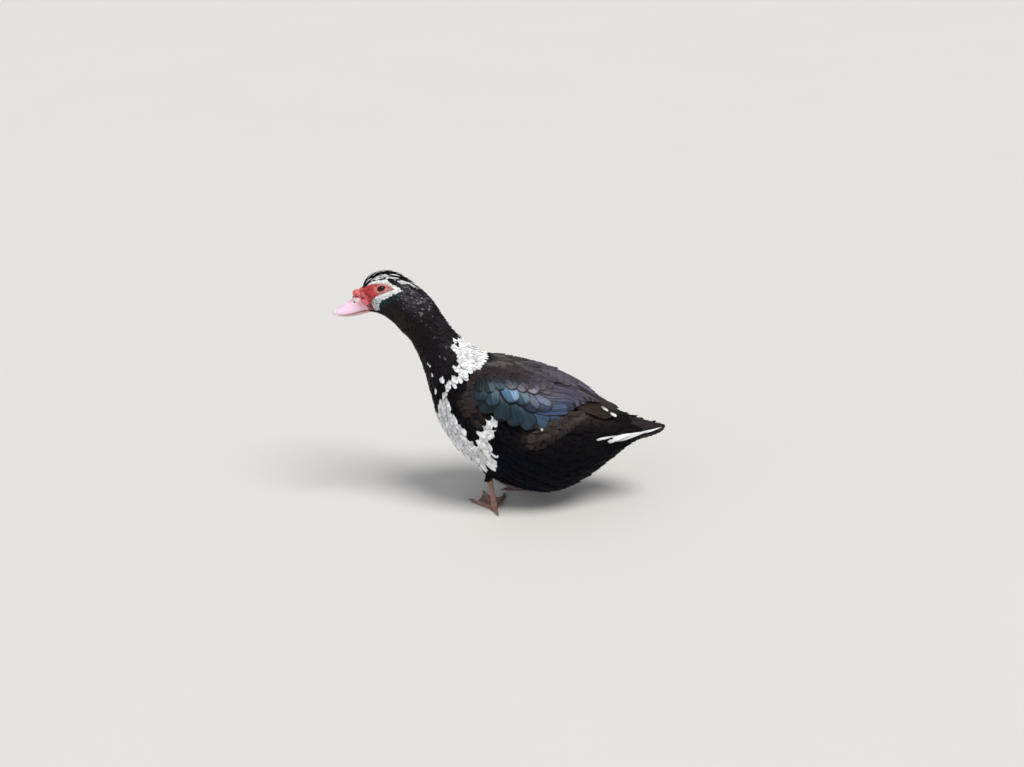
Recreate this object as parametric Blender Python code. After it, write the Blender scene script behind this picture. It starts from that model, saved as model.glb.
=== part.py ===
# A life-size standing muscovy duck, still, in metres. It faces -X, its left side is -Y and +Z is up.
import bmesh
import bpy
import numpy as np

# Driving dimensions
cm = 0.01
halfLengthShift = 0.0200
gap = 0.0003
wingGap = 0.0007
skinGap = 0.0005
crestGap = 0.0006
cutterGap = 0.00045
ringSides = 28
eyeRadius = 0.0060
eyeInset = 0.0040
eyeAt = (2.59, 56.0)
wingThickness = 0.0105
wingTipThickness = 0.0042
shellEdge = 0.0006
wingEdge = 0.0010
crestThickness = 0.0036
caruncleThickness = 0.0026
knobThickness = 0.0046
palmHeight = 0.0085
webThickness = 0.0016
toeHalfWidth = 0.0038
toeSpread = 32.0
toeLengths = (0.056, 0.066, 0.048)
clawLength = 0.0085
clawRadius = 0.0022
halluxLength = 0.013
hindClawLength = 0.0060
footRootRadius = 0.009
toeHeights = (0.0078, 0.0034)
toeNarrowing = 0.30
toeEndRound = 0.0035
knuckleSwell = 0.14
webReach = 0.83
shankSides = 14

# The folded wing: first and last station, and its upper and lower edge in degrees at shares of its length
wingStations = (8.34, 14.5)
wingUpperAt = [0.0, 0.06, 0.2, 0.4, 0.7, 1.0]
wingUpper = [56.0, 32.0, 16.0, 9.0, 5.0, 3.0]
wingLowerAt = [0.0, 0.06, 0.14, 0.25, 0.36, 0.48, 0.60, 0.72, 0.86, 1.0]
wingLower = [70.0, 92.0, 91.0, 86.0, 84.0, 78.0, 62.0, 47.0, 26.0, 12.0]

# First and last station, and first and last angle in degrees, of the shells on the head
carunclePlace = (0.12, 1.85, 34.0, 92.0)
knobPlace = (0.10, 1.25, -26.0, 26.0)
crestPlace = (1.45, 4.25, -30.0, 30.0)

# The stations and rings of the shape that the thighs are cut by
trunkCutter = (8.0, 13.2, 17)

# Radii in metres along a shank, a thigh and a hind toe, each from its lower or front end
shankAt = [0.0, 0.12, 0.3, 0.75, 0.9, 1.0]
shankRadii = [0.0046, 0.0044, 0.0037, 0.0039, 0.0052, 0.0046]
thighRadii = [0.0070, 0.0090, 0.0125, 0.0165, 0.0200, 0.0220]
halluxRadii = [0.0028, 0.0027, 0.0025, 0.0024, 0.0019]
halluxHeights = [0.0050, 0.0048, 0.0042, 0.0036, 0.0032]

# Claws, from root to point: shares of the length, heights, and radii or shares of the radius
clawAt = [0.0, 0.35, 0.7, 1.0]
clawHeights = [0.0026, 0.0027, 0.0020, 0.0010]
clawTaper = [1.0, 0.85, 0.55, 0.22]
hindClawAt = [0.0, 0.3, 0.65, 1.0]
hindClawDrops = [0.0, -0.0001, -0.0008, -0.0019]
hindClawRadii = [0.0016, 0.0014, 0.0009, 0.0004]

# Rows of the heel: how far before the joint, half width and share of the palm's height
heelRows = [(-0.0050, 0.0028, 0.8), (-0.0018, 0.0050, 1.0), (0.0028, 0.0058, 1.0)]

eyeBrown = (0.03, 0.015, 0.01)
faceRed = (0.45, 0.045, 0.04)
knobRed = (0.50, 0.07, 0.05)
crownBlack = (0.03, 0.028, 0.03)
wingBlue = (0.020, 0.030, 0.045)
wingTipBrown = (0.050, 0.026, 0.040)
legPink = (0.33, 0.16, 0.12)
thighBlack = (0.02, 0.018, 0.022)
clawGrey = (0.09, 0.07, 0.06)

# One row for each station from the bill to the tail, in centimetres:
# back x, back z, underside x, underside z, half width, how much wider it is below than above
bodyStations = [
    (-25.0, 33.9, -22.1, 31.7, 1.10, 0.00),
    (-23.9, 35.0, -21.2, 31.5, 1.50, -0.05),
    (-22.5, 36.9, -20.1, 31.0, 2.05, -0.10),
    (-19.4, 37.75, -18.8, 29.9, 2.45, -0.05),
    (-16.3, 36.4, -17.6, 28.5, 2.60, 0.00),
    (-13.35, 33.9, -16.2, 26.9, 2.65, 0.00),
    (-11.0, 30.45, -14.9, 24.0, 2.75, 0.00),
    (-8.6, 27.6, -13.9, 20.7, 3.60, 0.05),
    (-5.4, 25.35, -13.1, 17.4, 5.10, 0.10),
    (-2.2, 23.9, -11.9, 13.3, 6.80, 0.10),
    (1.2, 22.95, -8.8, 8.8, 8.10, 0.08),
    (4.2, 22.1, -3.4, 4.1, 8.60, 0.05),
    (7.4, 20.65, 4.4, 1.8, 8.50, 0.05),
    (10.8, 18.5, 10.2, 3.5, 7.30, 0.03),
    (14.2, 16.0, 14.9, 7.0, 5.20, 0.00),
    (17.2, 14.6, 18.2, 9.8, 3.90, 0.00),
    (20.2, 13.7, 20.6, 11.2, 2.90, 0.00),
    (22.4, 13.1, 22.6, 11.9, 1.70, 0.00),
    (24.15, 12.75, 24.2, 12.45, 0.50, 0.00),
]
upperBill = [
    (-24.76, 33.62, -23.18, 32.42, 1.06, 0.25),
    (-25.90, 33.04, -24.40, 32.10, 1.10, 0.25),
    (-26.80, 32.52, -25.90, 31.78, 1.08, 0.25),
    (-27.35, 32.22, -26.90, 31.58, 0.98, 0.20),
    (-27.68, 32.02, -27.50, 31.50, 0.82, 0.10),
]
lowerBill = [
    (-23.02, 32.28, -22.54, 31.88, 0.95, -0.20),
    (-24.30, 31.98, -24.10, 31.50, 0.96, -0.20),
    (-25.80, 31.66, -25.70, 31.20, 0.90, -0.20),
    (-27.00, 31.45, -26.95, 31.14, 0.72, -0.10),
    (-27.55, 31.38, -27.50, 31.22, 0.40, 0.00),
]
billNail = [
    (-27.72, 32.00, -27.56, 31.44, 0.62, 0.10),
    (-28.02, 31.80, -27.90, 31.28, 0.52, 0.10),
    (-28.22, 31.50, -28.16, 31.16, 0.26, 0.00),
]

# Node, first station, last station, rings, colour, roughness
bodyParts = [
    ("head", 0.0, 4.4, 12, (0.045, 0.040, 0.042), 0.60),
    ("neck_upper", 4.4, 6.2, 6, (0.030, 0.026, 0.030), 0.60),
    ("neck_lower", 6.2, 8.0, 6, (0.030, 0.026, 0.030), 0.60),
    ("breast", 8.0, 10.2, 8, (0.080, 0.078, 0.075), 0.65),
    ("trunk", 10.2, 13.2, 10, (0.018, 0.017, 0.022), 0.60),
    ("rump", 13.2, 15.2, 6, (0.020, 0.018, 0.022), 0.60),
    ("tail", 15.2, 18.0, 8, (0.030, 0.018, 0.026), 0.45),
]

# Foot joint x and y in centimetres, the way its middle toe points, in degrees from -X towards +Y,
# the ankle's x, y, z, and the top of the feathered leg
legs = {
    "left": ((-3.3, -4.7), 74.0, (-4.05, -4.35, 5.30), (-2.9, -4.6, 9.4)),
    "right": ((3.3, 3.4), 26.0, (3.45, 3.85, 2.45), (3.6, 4.5, 7.0)),
}


def clearScene():
    for thing in list(bpy.data.objects):
        bpy.data.objects.remove(thing, do_unlink=True)


def paint(name, colour, roughness):
    look = bpy.data.materials.new(name)
    look.use_nodes = True
    shader = look.node_tree.nodes["Principled BSDF"]
    shader.inputs["Base Color"].default_value = (*colour, 1.0)
    shader.inputs["Roughness"].default_value = roughness
    shader.inputs["Metallic"].default_value = 0.0
    return look


def addMesh(name, points, faces, colour, roughness):
    """An object of these points in metres, moved so that the whole bird is centred on the origin."""
    points = np.asarray(points, float).reshape(-1, 3) + (halfLengthShift, 0.0, 0.0)
    mesh = bpy.data.meshes.new(name)
    mesh.from_pydata(points.tolist(), [], faces)
    work = bmesh.new()
    work.from_mesh(mesh)
    bmesh.ops.recalc_face_normals(work, faces=work.faces)
    work.to_mesh(mesh)
    work.free()
    mesh.polygons.foreach_set("use_smooth", [True] * len(mesh.polygons))
    mesh.set_sharp_from_angle(angle=np.radians(50.0))
    mesh.materials.append(paint(name, colour, roughness))
    thing = bpy.data.objects.new(name, mesh)
    bpy.context.scene.collection.objects.link(thing)
    return thing


def alongRows(rows, t):
    """The rows' values at any t, on a smooth curve that goes through each row at its whole number."""
    rows = np.asarray(rows, float)
    t = np.asarray(t, float)
    i = np.clip(np.floor(t).astype(int), 0, len(rows) - 2)
    f = (t - i)[..., None]
    here, after = rows[i], rows[i + 1]
    before = np.where((i > 0)[..., None], rows[np.maximum(i - 1, 0)], 2 * here - after)
    last = (i < len(rows) - 2)[..., None]
    later = np.where(last, rows[np.minimum(i + 2, len(rows) - 1)], 2 * after - here)
    return 0.5 * (
        2 * here
        + (after - before) * f
        + (2 * before - 5 * here + 4 * after - later) * f**2
        + (3 * here - 3 * after + later - before) * f**3
    )


def surface(rows, t, angle):
    """Points at station t and at this angle in radians: 0 is the back, a quarter turn is the left side."""
    topX, topZ, lowX, lowZ, width, pear = np.moveaxis(alongRows(rows, t), -1, 0)
    up = np.cos(angle)
    x = (topX + lowX) / 2 + (topX - lowX) / 2 * up
    y = -width * np.sin(angle) * (1 - pear * up)
    z = (topZ + lowZ) / 2 + (topZ - lowZ) / 2 * up
    return np.stack([x, y, z], -1) * cm


def normals(rows, t, angle):
    """Outward unit normals of the surface, from points a little to each side."""
    step = 1e-3
    along = surface(rows, t + step, angle) - surface(rows, t - step, angle)
    around = surface(rows, t, angle + step) - surface(rows, t, angle - step)
    out = np.cross(around, along)
    return out / np.linalg.norm(out, axis=-1, keepdims=True)


def tubeFaces(rings, sides):
    """Faces of a closed tube of rings, its two ends filled."""
    faces = []
    for i in range(rings - 1):
        for j in range(sides):
            k = (j + 1) % sides
            faces.append((i * sides + j, (i + 1) * sides + j, (i + 1) * sides + k, i * sides + k))
    faces.append(tuple(range(sides)))
    faces.append(tuple(range(rings * sides - 1, (rings - 1) * sides - 1, -1)))
    return faces


def loft(rows, first, last, rings, sides, startGap=0.0):
    """Points of a closed piece of the surface. Its first ring is moved back by startGap."""
    t, angle = np.meshgrid(
        np.linspace(first, last, rings),
        np.linspace(0.0, 2 * np.pi, sides, endpoint=False),
        indexing="ij",
    )
    points = surface(rows, t, angle)
    topX, topZ, lowX, lowZ = alongRows(rows, np.array([first]))[0, :4]
    tilt = np.array([topZ - lowZ, 0.0, lowX - topX])
    points[0] += startGap * tilt / np.linalg.norm(tilt)
    return points


def closed(lower, upper):
    """Points and faces of the closed solid between two grids of points of the same shape."""
    rows, columns = lower.shape[:2]
    size = rows * columns
    points = np.concatenate([lower.reshape(-1, 3), upper.reshape(-1, 3)])
    faces = []
    for i in range(rows - 1):
        for j in range(columns - 1):
            a, b = i * columns + j, i * columns + j + 1
            c, d = b + columns, a + columns
            faces.append((a, d, c, b))
            faces.append((a + size, b + size, c + size, d + size))
    edge = list(range(columns))
    edge += [i * columns + columns - 1 for i in range(1, rows)]
    edge += [(rows - 1) * columns + j for j in range(columns - 2, -1, -1)]
    edge += [i * columns for i in range(rows - 2, 0, -1)]
    for k, a in enumerate(edge):
        b = edge[(k + 1) % len(edge)]
        faces.append((a, b, b + size, a + size))
    return points, faces


def shell(tGrid, angleGrid, thickness, under):
    """Points and faces of a closed shell that lies on the body, under above it and thickness thick."""
    base = surface(bodyStations, tGrid, angleGrid)
    out = normals(bodyStations, tGrid, angleGrid)
    lower = base + out * under
    upper = base + out * (under + thickness)[..., None]
    return closed(lower, upper)


def domed(across, power):
    """1 in the middle of 0..1 and falling to 0 at both ends."""
    return (1 - np.abs(2 * across - 1) ** power).clip(0.0)


def addShell(name, side, tGrid, angleGrid, thickness, under, colour, roughness):
    points, faces = shell(tGrid, side * angleGrid, thickness, under)
    return addMesh(name, points, faces, colour, roughness)


def addCutter(name, thing):
    thing.name = name
    thing.hide_render = True
    thing.display_type = "WIRE"
    return thing


def cutBy(thing, cutter):
    cut = thing.modifiers.new("cut", "BOOLEAN")
    cut.operation = "DIFFERENCE"
    cut.object = cutter
    cut.solver = "EXACT"


def buildBody():
    """Head, neck, trunk and tail: one surface cut across at its stations."""
    made = {}
    for name, first, last, rings, colour, roughness in bodyParts:
        startGap = gap if first > 0 else 0.0
        points = loft(bodyStations, first, last, rings, ringSides, startGap)
        made[name] = addMesh(name, points, tubeFaces(rings, ringSides), colour, roughness)
    return made


def buildBill():
    for name, rows, colour in (
        ("bill_upper", upperBill, (0.62, 0.42, 0.46)),
        ("bill_lower", lowerBill, (0.55, 0.34, 0.36)),
        ("bill_nail", billNail, (0.70, 0.58, 0.55)),
    ):
        points = loft(rows, len(rows) - 1.0, 0.0, 7, 18)
        addMesh(name, points, tubeFaces(7, 18), colour, 0.40)


def ball(centre, radius, rings, sides):
    """Points and faces of a sphere with its poles on the Y axis."""
    polar = np.linspace(0.0, np.pi, rings + 1)[1:-1, None]
    turn = np.linspace(0.0, 2 * np.pi, sides, endpoint=False)[None]
    x = np.sin(polar) * np.cos(turn)
    z = np.sin(polar) * np.sin(turn)
    y = np.cos(polar) + 0 * turn
    points = np.stack([x, y, z], -1).reshape(-1, 3)
    points = np.concatenate([points, [(0.0, 1.0, 0.0), (0.0, -1.0, 0.0)]])
    near, far = len(points) - 2, len(points) - 1
    faces = []
    for i in range(rings - 2):
        for j in range(sides):
            k = (j + 1) % sides
            faces.append((i * sides + j, i * sides + k, (i + 1) * sides + k, (i + 1) * sides + j))
    for j in range(sides):
        k = (j + 1) % sides
        faces.append((near, k, j))
        faces.append((far, (rings - 2) * sides + j, (rings - 2) * sides + k))
    return points * radius + centre, faces


def buildEyes(head):
    for name, side in (("left", 1), ("right", -1)):
        t, angle = np.array([eyeAt[0]]), np.array([side * np.radians(eyeAt[1])])
        centre = surface(bodyStations, t, angle)[0] - eyeInset * normals(bodyStations, t, angle)[0]
        points, faces = ball(centre, eyeRadius, 8, 14)
        addMesh("eye_" + name, points, faces, eyeBrown, 0.08)
        points, faces = ball(centre, eyeRadius + gap, 8, 14)
        socket = addMesh("socket_" + name, points, faces, eyeBrown, 0.5)
        cutBy(head, addCutter("cutter_socket_" + name, socket))


def patch(first, last, top, bottom, rows, columns):
    """Even grids of station and of angle in radians between these limits, and how far along and across."""
    along, across = np.meshgrid(
        np.linspace(0.0, 1.0, rows), np.linspace(0.0, 1.0, columns), indexing="ij"
    )
    t = first + (last - first) * along
    angle = np.radians(top + (bottom - top) * across)
    return t, angle, along, across


def buildFace():
    """The bare red skin before the eyes, the knob over the bill and the cap of crown feathers."""
    t, angle, along, across = patch(*carunclePlace, 9, 7)
    lumps = 0.55 + 0.45 * np.cos(along * 14.0) * np.cos(across * 9.0)
    thickness = shellEdge + caruncleThickness * domed(along, 4) * domed(across, 4) * lumps
    for name, side in (("left", 1), ("right", -1)):
        addShell("caruncle_" + name, side, t, angle, thickness, skinGap, faceRed, 0.45)
    t, angle, along, across = patch(*knobPlace, 7, 9)
    thickness = shellEdge + knobThickness * domed(along, 2) * domed(across, 2)
    addShell("caruncle_knob", 1, t, angle, thickness, skinGap, knobRed, 0.45)
    t, angle, along, across = patch(*crestPlace, 10, 9)
    thickness = shellEdge + crestThickness * domed(along, 3) * domed(across, 2)
    addShell("crest", 1, t, angle, thickness, crestGap, crownBlack, 0.60)


def wingEdges(along):
    """Station, upper angle and lower angle in degrees of a folded wing, from its front to its back end."""
    first, last = wingStations
    upper = np.interp(along, wingUpperAt, wingUpper)
    lower = np.interp(along, wingLowerAt, wingLower)
    return first + (last - first) * along, upper, lower


def buildWings():
    """Each folded wing is a shell on the trunk, and its long end feathers are a second one behind it."""
    for part, start, end, rows, columns, thick, colour in (
        ("wing", 0.0, 0.70, 17, 9, wingThickness, wingBlue),
        ("wing_tip", 0.71, 1.0, 8, 7, wingTipThickness, wingTipBrown),
    ):
        along, across = np.meshgrid(
            np.linspace(start, end, rows), np.linspace(0.0, 1.0, columns), indexing="ij"
        )
        t, upper, lower = wingEdges(along)
        angle = np.radians(upper + (lower - upper) * across)
        front = np.clip(along / 0.10, 0.0, 1.0) ** 0.5
        back = np.clip((1.02 - along) / 0.25, 0.0, 1.0) ** 0.5
        low = 0.40 + 0.60 * across.clip(0.0, 0.5) * 2 if part == "wing" else 1.0
        thickness = wingEdge + thick * domed(across, 4) * front * back * low
        for name, side in (("left", 1), ("right", -1)):
            addShell(f"{part}_{name}", side, t, angle, thickness, wingGap, colour, 0.42)


def tube(path, radii, sides):
    """Rings of points about the points of a path, across its direction."""
    path = np.asarray(path, float)
    radii = np.asarray(radii, float)
    ahead = np.gradient(path, axis=0)
    ahead /= np.linalg.norm(ahead, axis=1, keepdims=True)
    helper = np.where(np.abs(ahead[:, 2:]) > 0.7, (1.0, 0.0, 0.0), (0.0, 0.0, 1.0))
    sideways = np.cross(helper, ahead)
    sideways /= np.linalg.norm(sideways, axis=1, keepdims=True)
    upwards = np.cross(ahead, sideways)
    turn = np.linspace(0.0, 2 * np.pi, sides, endpoint=False)
    circle = sideways[:, None] * np.cos(turn)[:, None] + upwards[:, None] * np.sin(turn)[:, None]
    return path[:, None] + circle * radii[:, None, None]


def addTube(name, path, radii, sides, colour, roughness):
    points = tube(path, radii, sides)
    return addMesh(name, points, tubeFaces(len(path), sides), colour, roughness)


def footGrid(heading, joint):
    """Top points of a webbed foot in rows from heel to edge, and the ends of its three toes."""
    toeAngles = np.radians([-toeSpread, 0.0, toeSpread])
    shares = np.array([-1.0, -0.6, 0.0, 0.6, 1.0])
    columns = []
    for number, angle in enumerate(toeAngles):
        columns += [(number, share) for share in shares]
        if number < 2:
            columns += [(number + 1 / 3, None), (number + 2 / 3, None)]
    steps = np.linspace(0.0, 1.0, 9)
    count = len(columns)
    points = np.zeros((len(heelRows) + len(steps), count, 3))
    tall, fall = toeHeights
    for j, (number, share) in enumerate(columns):
        k = 2 * j / (count - 1) - 1
        low = 0.55 if abs(k) > 0.9 else 1.0
        for i, (back, half, height) in enumerate(heelRows):
            points[i, j] = (back, half * k, palmHeight * low * height)
        here = np.interp(number, [0, 1, 2], toeAngles)
        dome = 0.0
        reach = webReach * np.interp(number, [0, 1, 2], toeLengths)
        if share is not None:
            dome = np.sqrt(1 - 0.98 * share**2)
            reach = toeLengths[number] - toeEndRound * (1 - dome)
        for i, v in enumerate(steps):
            r = footRootRadius + (reach - footRootRadius) * v
            turn = here
            if share is not None:
                turn += share * min(toeHalfWidth * (1.0 - toeNarrowing * v) / r, 0.235)
            ridge = (tall - fall * v) * (1.0 + knuckleSwell * np.cos(v * 6 * np.pi)) * dome
            palm = max(0.0, 1 - v / 0.22) * palmHeight * 0.9
            height = max(webThickness, ridge, palm)
            points[len(heelRows) + i, j] = (r * np.cos(turn), r * np.sin(turn), height)
    swing = np.radians(180.0 - heading)
    cosine, sine = np.cos(swing), np.sin(swing)
    x = points[..., 0] * cosine - points[..., 1] * sine + joint[0]
    y = points[..., 0] * sine + points[..., 1] * cosine + joint[1]
    ends = swing + toeAngles
    return np.stack([x, y, points[..., 2]], -1), ends


def raised(root, along, steps, heights):
    """A path that starts at root and goes along, each point at its own height above the root."""
    return root + along * np.asarray(steps)[:, None] + np.outer(heights, (0.0, 0.0, 1.0))


def buildLeg(name, joint, ankle, top):
    """The bare shank and the feathered thigh, which is still to be cut by the trunk."""
    low = np.array([joint[0], joint[1], palmHeight + gap])
    share = np.linspace(0.0, 1.0, 9)
    path = low + (ankle - low) * share[:, None]
    radii = np.interp(share, shankAt, shankRadii)
    shank = addTube("shank_" + name, path, radii, shankSides, legPink, 0.50)
    shank.data.vertices.foreach_set("co", flattened(shank, low[2]))

    upwards = (ankle - low) / np.linalg.norm(ankle - low)
    cuff = ankle + upwards * gap
    knee = cuff + upwards * 0.004
    path = [cuff, *(knee + (top - knee) * np.linspace(0.0, 1.0, 5)[:, None])]
    return addTube("thigh_" + name, path, thighRadii, 16, thighBlack, 0.6)


def buildToes(name, joint, heading, ends):
    """The claws of the three front toes, and the hind toe with its claw."""
    ground = np.array([joint[0], joint[1], 0.0])
    for toe, end in enumerate(ends):
        along = np.array([np.cos(end), np.sin(end), 0.0])
        root = ground + along * (toeLengths[toe] + gap)
        path = raised(root, along, np.multiply(clawAt, clawLength), clawHeights)
        radii = clawRadius * np.array(clawTaper)
        addTube(f"claw_{name}_{toe + 1}", path, radii, 10, clawGrey, 0.35)

    behind = np.radians(180.0 - heading) + np.pi
    along = np.array([np.cos(behind), np.sin(behind), 0.0])
    root = ground + along * (gap - heelRows[0][0])
    path = raised(root, along, np.linspace(0.0, halluxLength, 5), halluxHeights)
    addTube("hallux_" + name, path, halluxRadii, 10, legPink, 0.50)
    tip = path[-1] + along * gap
    path = raised(tip, along, np.multiply(hindClawAt, hindClawLength), hindClawDrops)
    addTube(f"claw_{name}_4", path, hindClawRadii, 10, clawGrey, 0.35)


def buildFeet(cutter):
    for name, (spot, heading, ankle, top) in legs.items():
        joint = np.array(spot) * cm
        grid, ends = footGrid(heading, joint)
        points, faces = closed(grid * (1.0, 1.0, 0.0), grid)
        addMesh("foot_" + name, points, faces, legPink, 0.50)
        thigh = buildLeg(name, joint, np.array(ankle) * cm, np.array(top) * cm)
        cutBy(thigh, cutter)
        buildToes(name, joint, heading, ends)


def flattened(shank, level):
    """The shank's points with its lowest ring put level, so that it stands flat on the foot."""
    points = np.array([tuple(vertex.co) for vertex in shank.data.vertices])
    points[:shankSides, 2] = level
    return points.ravel()


def trunkShape():
    """The trunk a little larger than it is, which cuts the tops of the thighs."""
    first, last, rings = trunkCutter
    t, angle = np.meshgrid(
        np.linspace(first, last, rings),
        np.linspace(0.0, 2 * np.pi, ringSides, endpoint=False),
        indexing="ij",
    )
    points = surface(bodyStations, t, angle) + normals(bodyStations, t, angle) * cutterGap
    hull = addMesh("trunk_copy", points, tubeFaces(rings, ringSides), thighBlack, 0.5)
    return addCutter("cutter_trunk", hull)


def main():
    clearScene()
    made = buildBody()
    buildBill()
    buildEyes(made["head"])
    buildFace()
    buildWings()
    buildFeet(trunkShape())


main()
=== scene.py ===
import bpy
import numpy as np
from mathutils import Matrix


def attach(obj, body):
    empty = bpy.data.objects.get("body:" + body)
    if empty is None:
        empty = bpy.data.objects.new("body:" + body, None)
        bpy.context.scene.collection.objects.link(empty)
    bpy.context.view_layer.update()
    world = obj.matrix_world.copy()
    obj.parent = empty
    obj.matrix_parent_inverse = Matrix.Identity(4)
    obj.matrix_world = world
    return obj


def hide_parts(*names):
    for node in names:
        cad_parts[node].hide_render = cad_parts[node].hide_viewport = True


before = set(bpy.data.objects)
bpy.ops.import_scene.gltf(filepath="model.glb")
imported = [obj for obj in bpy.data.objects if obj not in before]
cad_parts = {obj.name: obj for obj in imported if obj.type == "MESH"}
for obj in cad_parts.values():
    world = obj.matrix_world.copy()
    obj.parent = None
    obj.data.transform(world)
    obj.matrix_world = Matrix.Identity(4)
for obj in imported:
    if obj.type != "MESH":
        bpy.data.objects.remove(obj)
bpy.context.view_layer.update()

# The bird faces -X, its left side is -Y. Lengths are metres, and angles are degrees.
# On the body a place is (t, turn): t counts the stations from bill to tail,
# turn is 0 on the back, 90 on the left side, -90 on the right side and 180 underneath.
body = {
    "shift": 0.0200,
    # back x, back z, underside x, underside z, half width, how much wider below, in centimetres
    "stations": [
        (-25.0, 33.9, -22.1, 31.7, 1.10, 0.00),
        (-23.9, 35.0, -21.2, 31.5, 1.50, -0.05),
        (-22.5, 36.9, -20.1, 31.0, 2.05, -0.10),
        (-19.4, 37.75, -18.8, 29.9, 2.45, -0.05),
        (-16.3, 36.4, -17.6, 28.5, 2.60, 0.00),
        (-13.35, 33.9, -16.2, 26.9, 2.65, 0.00),
        (-11.0, 30.45, -14.9, 24.0, 2.75, 0.00),
        (-8.6, 27.6, -13.9, 20.7, 3.60, 0.05),
        (-5.4, 25.35, -13.1, 17.4, 5.10, 0.10),
        (-2.2, 23.9, -11.9, 13.3, 6.80, 0.10),
        (1.2, 22.95, -8.8, 8.8, 8.10, 0.08),
        (4.2, 22.1, -3.4, 4.1, 8.60, 0.05),
        (7.4, 20.65, 4.4, 1.8, 8.50, 0.05),
        (10.8, 18.5, 10.2, 3.5, 7.30, 0.03),
        (14.2, 16.0, 14.9, 7.0, 5.20, 0.00),
        (17.2, 14.6, 18.2, 9.8, 3.90, 0.00),
        (20.2, 13.7, 20.6, 11.2, 2.90, 0.00),
        (22.4, 13.1, 22.6, 11.9, 1.70, 0.00),
        (24.15, 12.75, 24.2, 12.45, 0.50, 0.00),
    ],
    # how deep the skin lies under the tips of the coat, in metres, at these t
    "depthAt": [0.0, 0.6, 2.0, 4.0, 6.0, 8.0, 10.0, 13.0, 15.0, 16.0, 17.0, 18.0],
    "depth": [0.0004, 0.0010, 0.0016, 0.0024, 0.0034, 0.0045, 0.0060, 0.0060, 0.0062, 0.0066, 0.0038, 0.0008],
}


def sizeOf(vectors):
    return np.linalg.norm(vectors, axis=-1, keepdims=True)


def smoothRows(rows, t):
    # a Catmull-Rom curve: it passes each row at its whole number, its slope there that of the rows beside it
    rows = np.asarray(rows, float)
    i = np.clip(np.floor(t).astype(int), 0, len(rows) - 2)
    f = (t - i)[..., None]
    here, after = rows[i], rows[i + 1]
    before = np.where((i > 0)[..., None], rows[np.maximum(i - 1, 0)], 2 * here - after)
    isLast = (i >= len(rows) - 2)[..., None]
    later = np.where(isLast, 2 * after - here, rows[np.minimum(i + 2, len(rows) - 1)])
    return here + 0.5 * f * (
        after - before
        + f * (2 * before - 5 * here + 4 * after - later + f * (3 * here - 3 * after + later - before))
    )


def smoothCurve(places, values, x):
    # a cubic between each two places, its slope at a place the mean slope on its two sides
    places = np.asarray(places, float)
    values = np.asarray(values, float)
    slopes = np.gradient(values, places)
    i = np.clip(np.searchsorted(places, x) - 1, 0, len(places) - 2)
    span = places[i + 1] - places[i]
    f = np.clip((x - places[i]) / span, 0, 1)
    rise = f * f * (3 - 2 * f)
    bend = f * (1 - f) * ((1 - f) * slopes[i] - f * slopes[i + 1]) * span
    return values[i] + (values[i + 1] - values[i]) * rise + bend


def step(low, high, x):
    # 0 below low, 1 above high, a smooth S between them
    f = np.clip((x - low) / (high - low), 0, 1)
    return f * f * (3 - 2 * f)


def loftPoint(rows, t, turn, squareAbove=1.0, squareBelow=1.0):
    # middle of back and underside, plus half their difference times cos(turn), and width times sin(turn) sideways,
    # where powers below 1 make the section more like a box
    t, turn = np.broadcast_arrays(np.asarray(t, float), np.asarray(turn, float))
    row = smoothRows(rows, t)
    up, side = np.cos(np.radians(turn)), np.sin(np.radians(turn))
    up = np.sign(up) * np.abs(up) ** np.where(up > 0, squareAbove, squareBelow)
    x = (row[..., 0] + row[..., 2]) / 2 + (row[..., 0] - row[..., 2]) / 2 * up
    y = -row[..., 4] * side * (1 - row[..., 5] * up)
    z = (row[..., 1] + row[..., 3]) / 2 + (row[..., 1] - row[..., 3]) / 2 * up
    return np.stack([x, y, z], -1) * 0.01 + (body["shift"], 0.0, 0.0)


def lofted(rows, *square):
    # the surface through the rows, as a function of t, turn and how far to lift along the normal
    def sheet(t, turn, lift=0.0):
        here = loftPoint(rows, t, turn, *square)
        ahead = loftPoint(rows, t + 1e-3, turn, *square) - here
        aside = loftPoint(rows, t, turn + 0.05, *square) - here
        out = np.cross(aside, ahead)
        return here + out / sizeOf(out) * np.asarray(lift)[..., None]
    return sheet


bodySheet = lofted(body["stations"])


def coatDepth(t):
    return np.interp(t, body["depthAt"], body["depth"])


wing = {
    "frontT": 8.34,
    "backT": 14.5,
    "edgeAt": [0.0, 0.06, 0.14, 0.25, 0.36, 0.48, 0.60, 0.72, 0.86, 1.0],
    "upper": [38.0, 28.0, 21.0, 14.0, 10.0, 7.5, 6.0, 5.0, 4.0, 3.0],
    "lower": [86.0, 91.0, 91.0, 86.0, 84.0, 78.0, 62.0, 47.0, 26.0, 12.0],
    "thickness": 0.0105,
    "tipThickness": 0.0050,
    "gap": 0.0010,
}


def wingPlace(along, across):
    # along 0..1 goes from the shoulder to the tip of the folded wing, across 0..1 from its top to its lower edge
    t = wing["frontT"] + (wing["backT"] - wing["frontT"]) * along
    upper = smoothCurve(wing["edgeAt"], wing["upper"], along)
    lower = smoothCurve(wing["edgeAt"], wing["lower"], along)
    return t, upper + (lower - upper) * across


def wingRise(along, across):
    # a dome over the wing's width, thinner to its front, its top edge and its tip
    dome = np.clip(1 - np.abs(2 * across - 1) ** 3.2, 0, None)
    front = step(-0.03, 0.13, along)
    thick = wing["tipThickness"] + (wing["thickness"] - wing["tipThickness"]) * step(0.85, 0.55, along)
    low = 0.40 + 0.60 * np.clip(across * 2, 0, 1)
    back = np.clip((1.02 - along) / 0.20, 0, 1) ** 0.5
    return thick * dome * front * low * back


def wingSheet(side):
    def sheet(along, across, lift=0.0):
        t, turn = wingPlace(along, across)
        return bodySheet(t, side * turn, wing["gap"] + wingRise(along, across) + lift)
    return sheet


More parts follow.
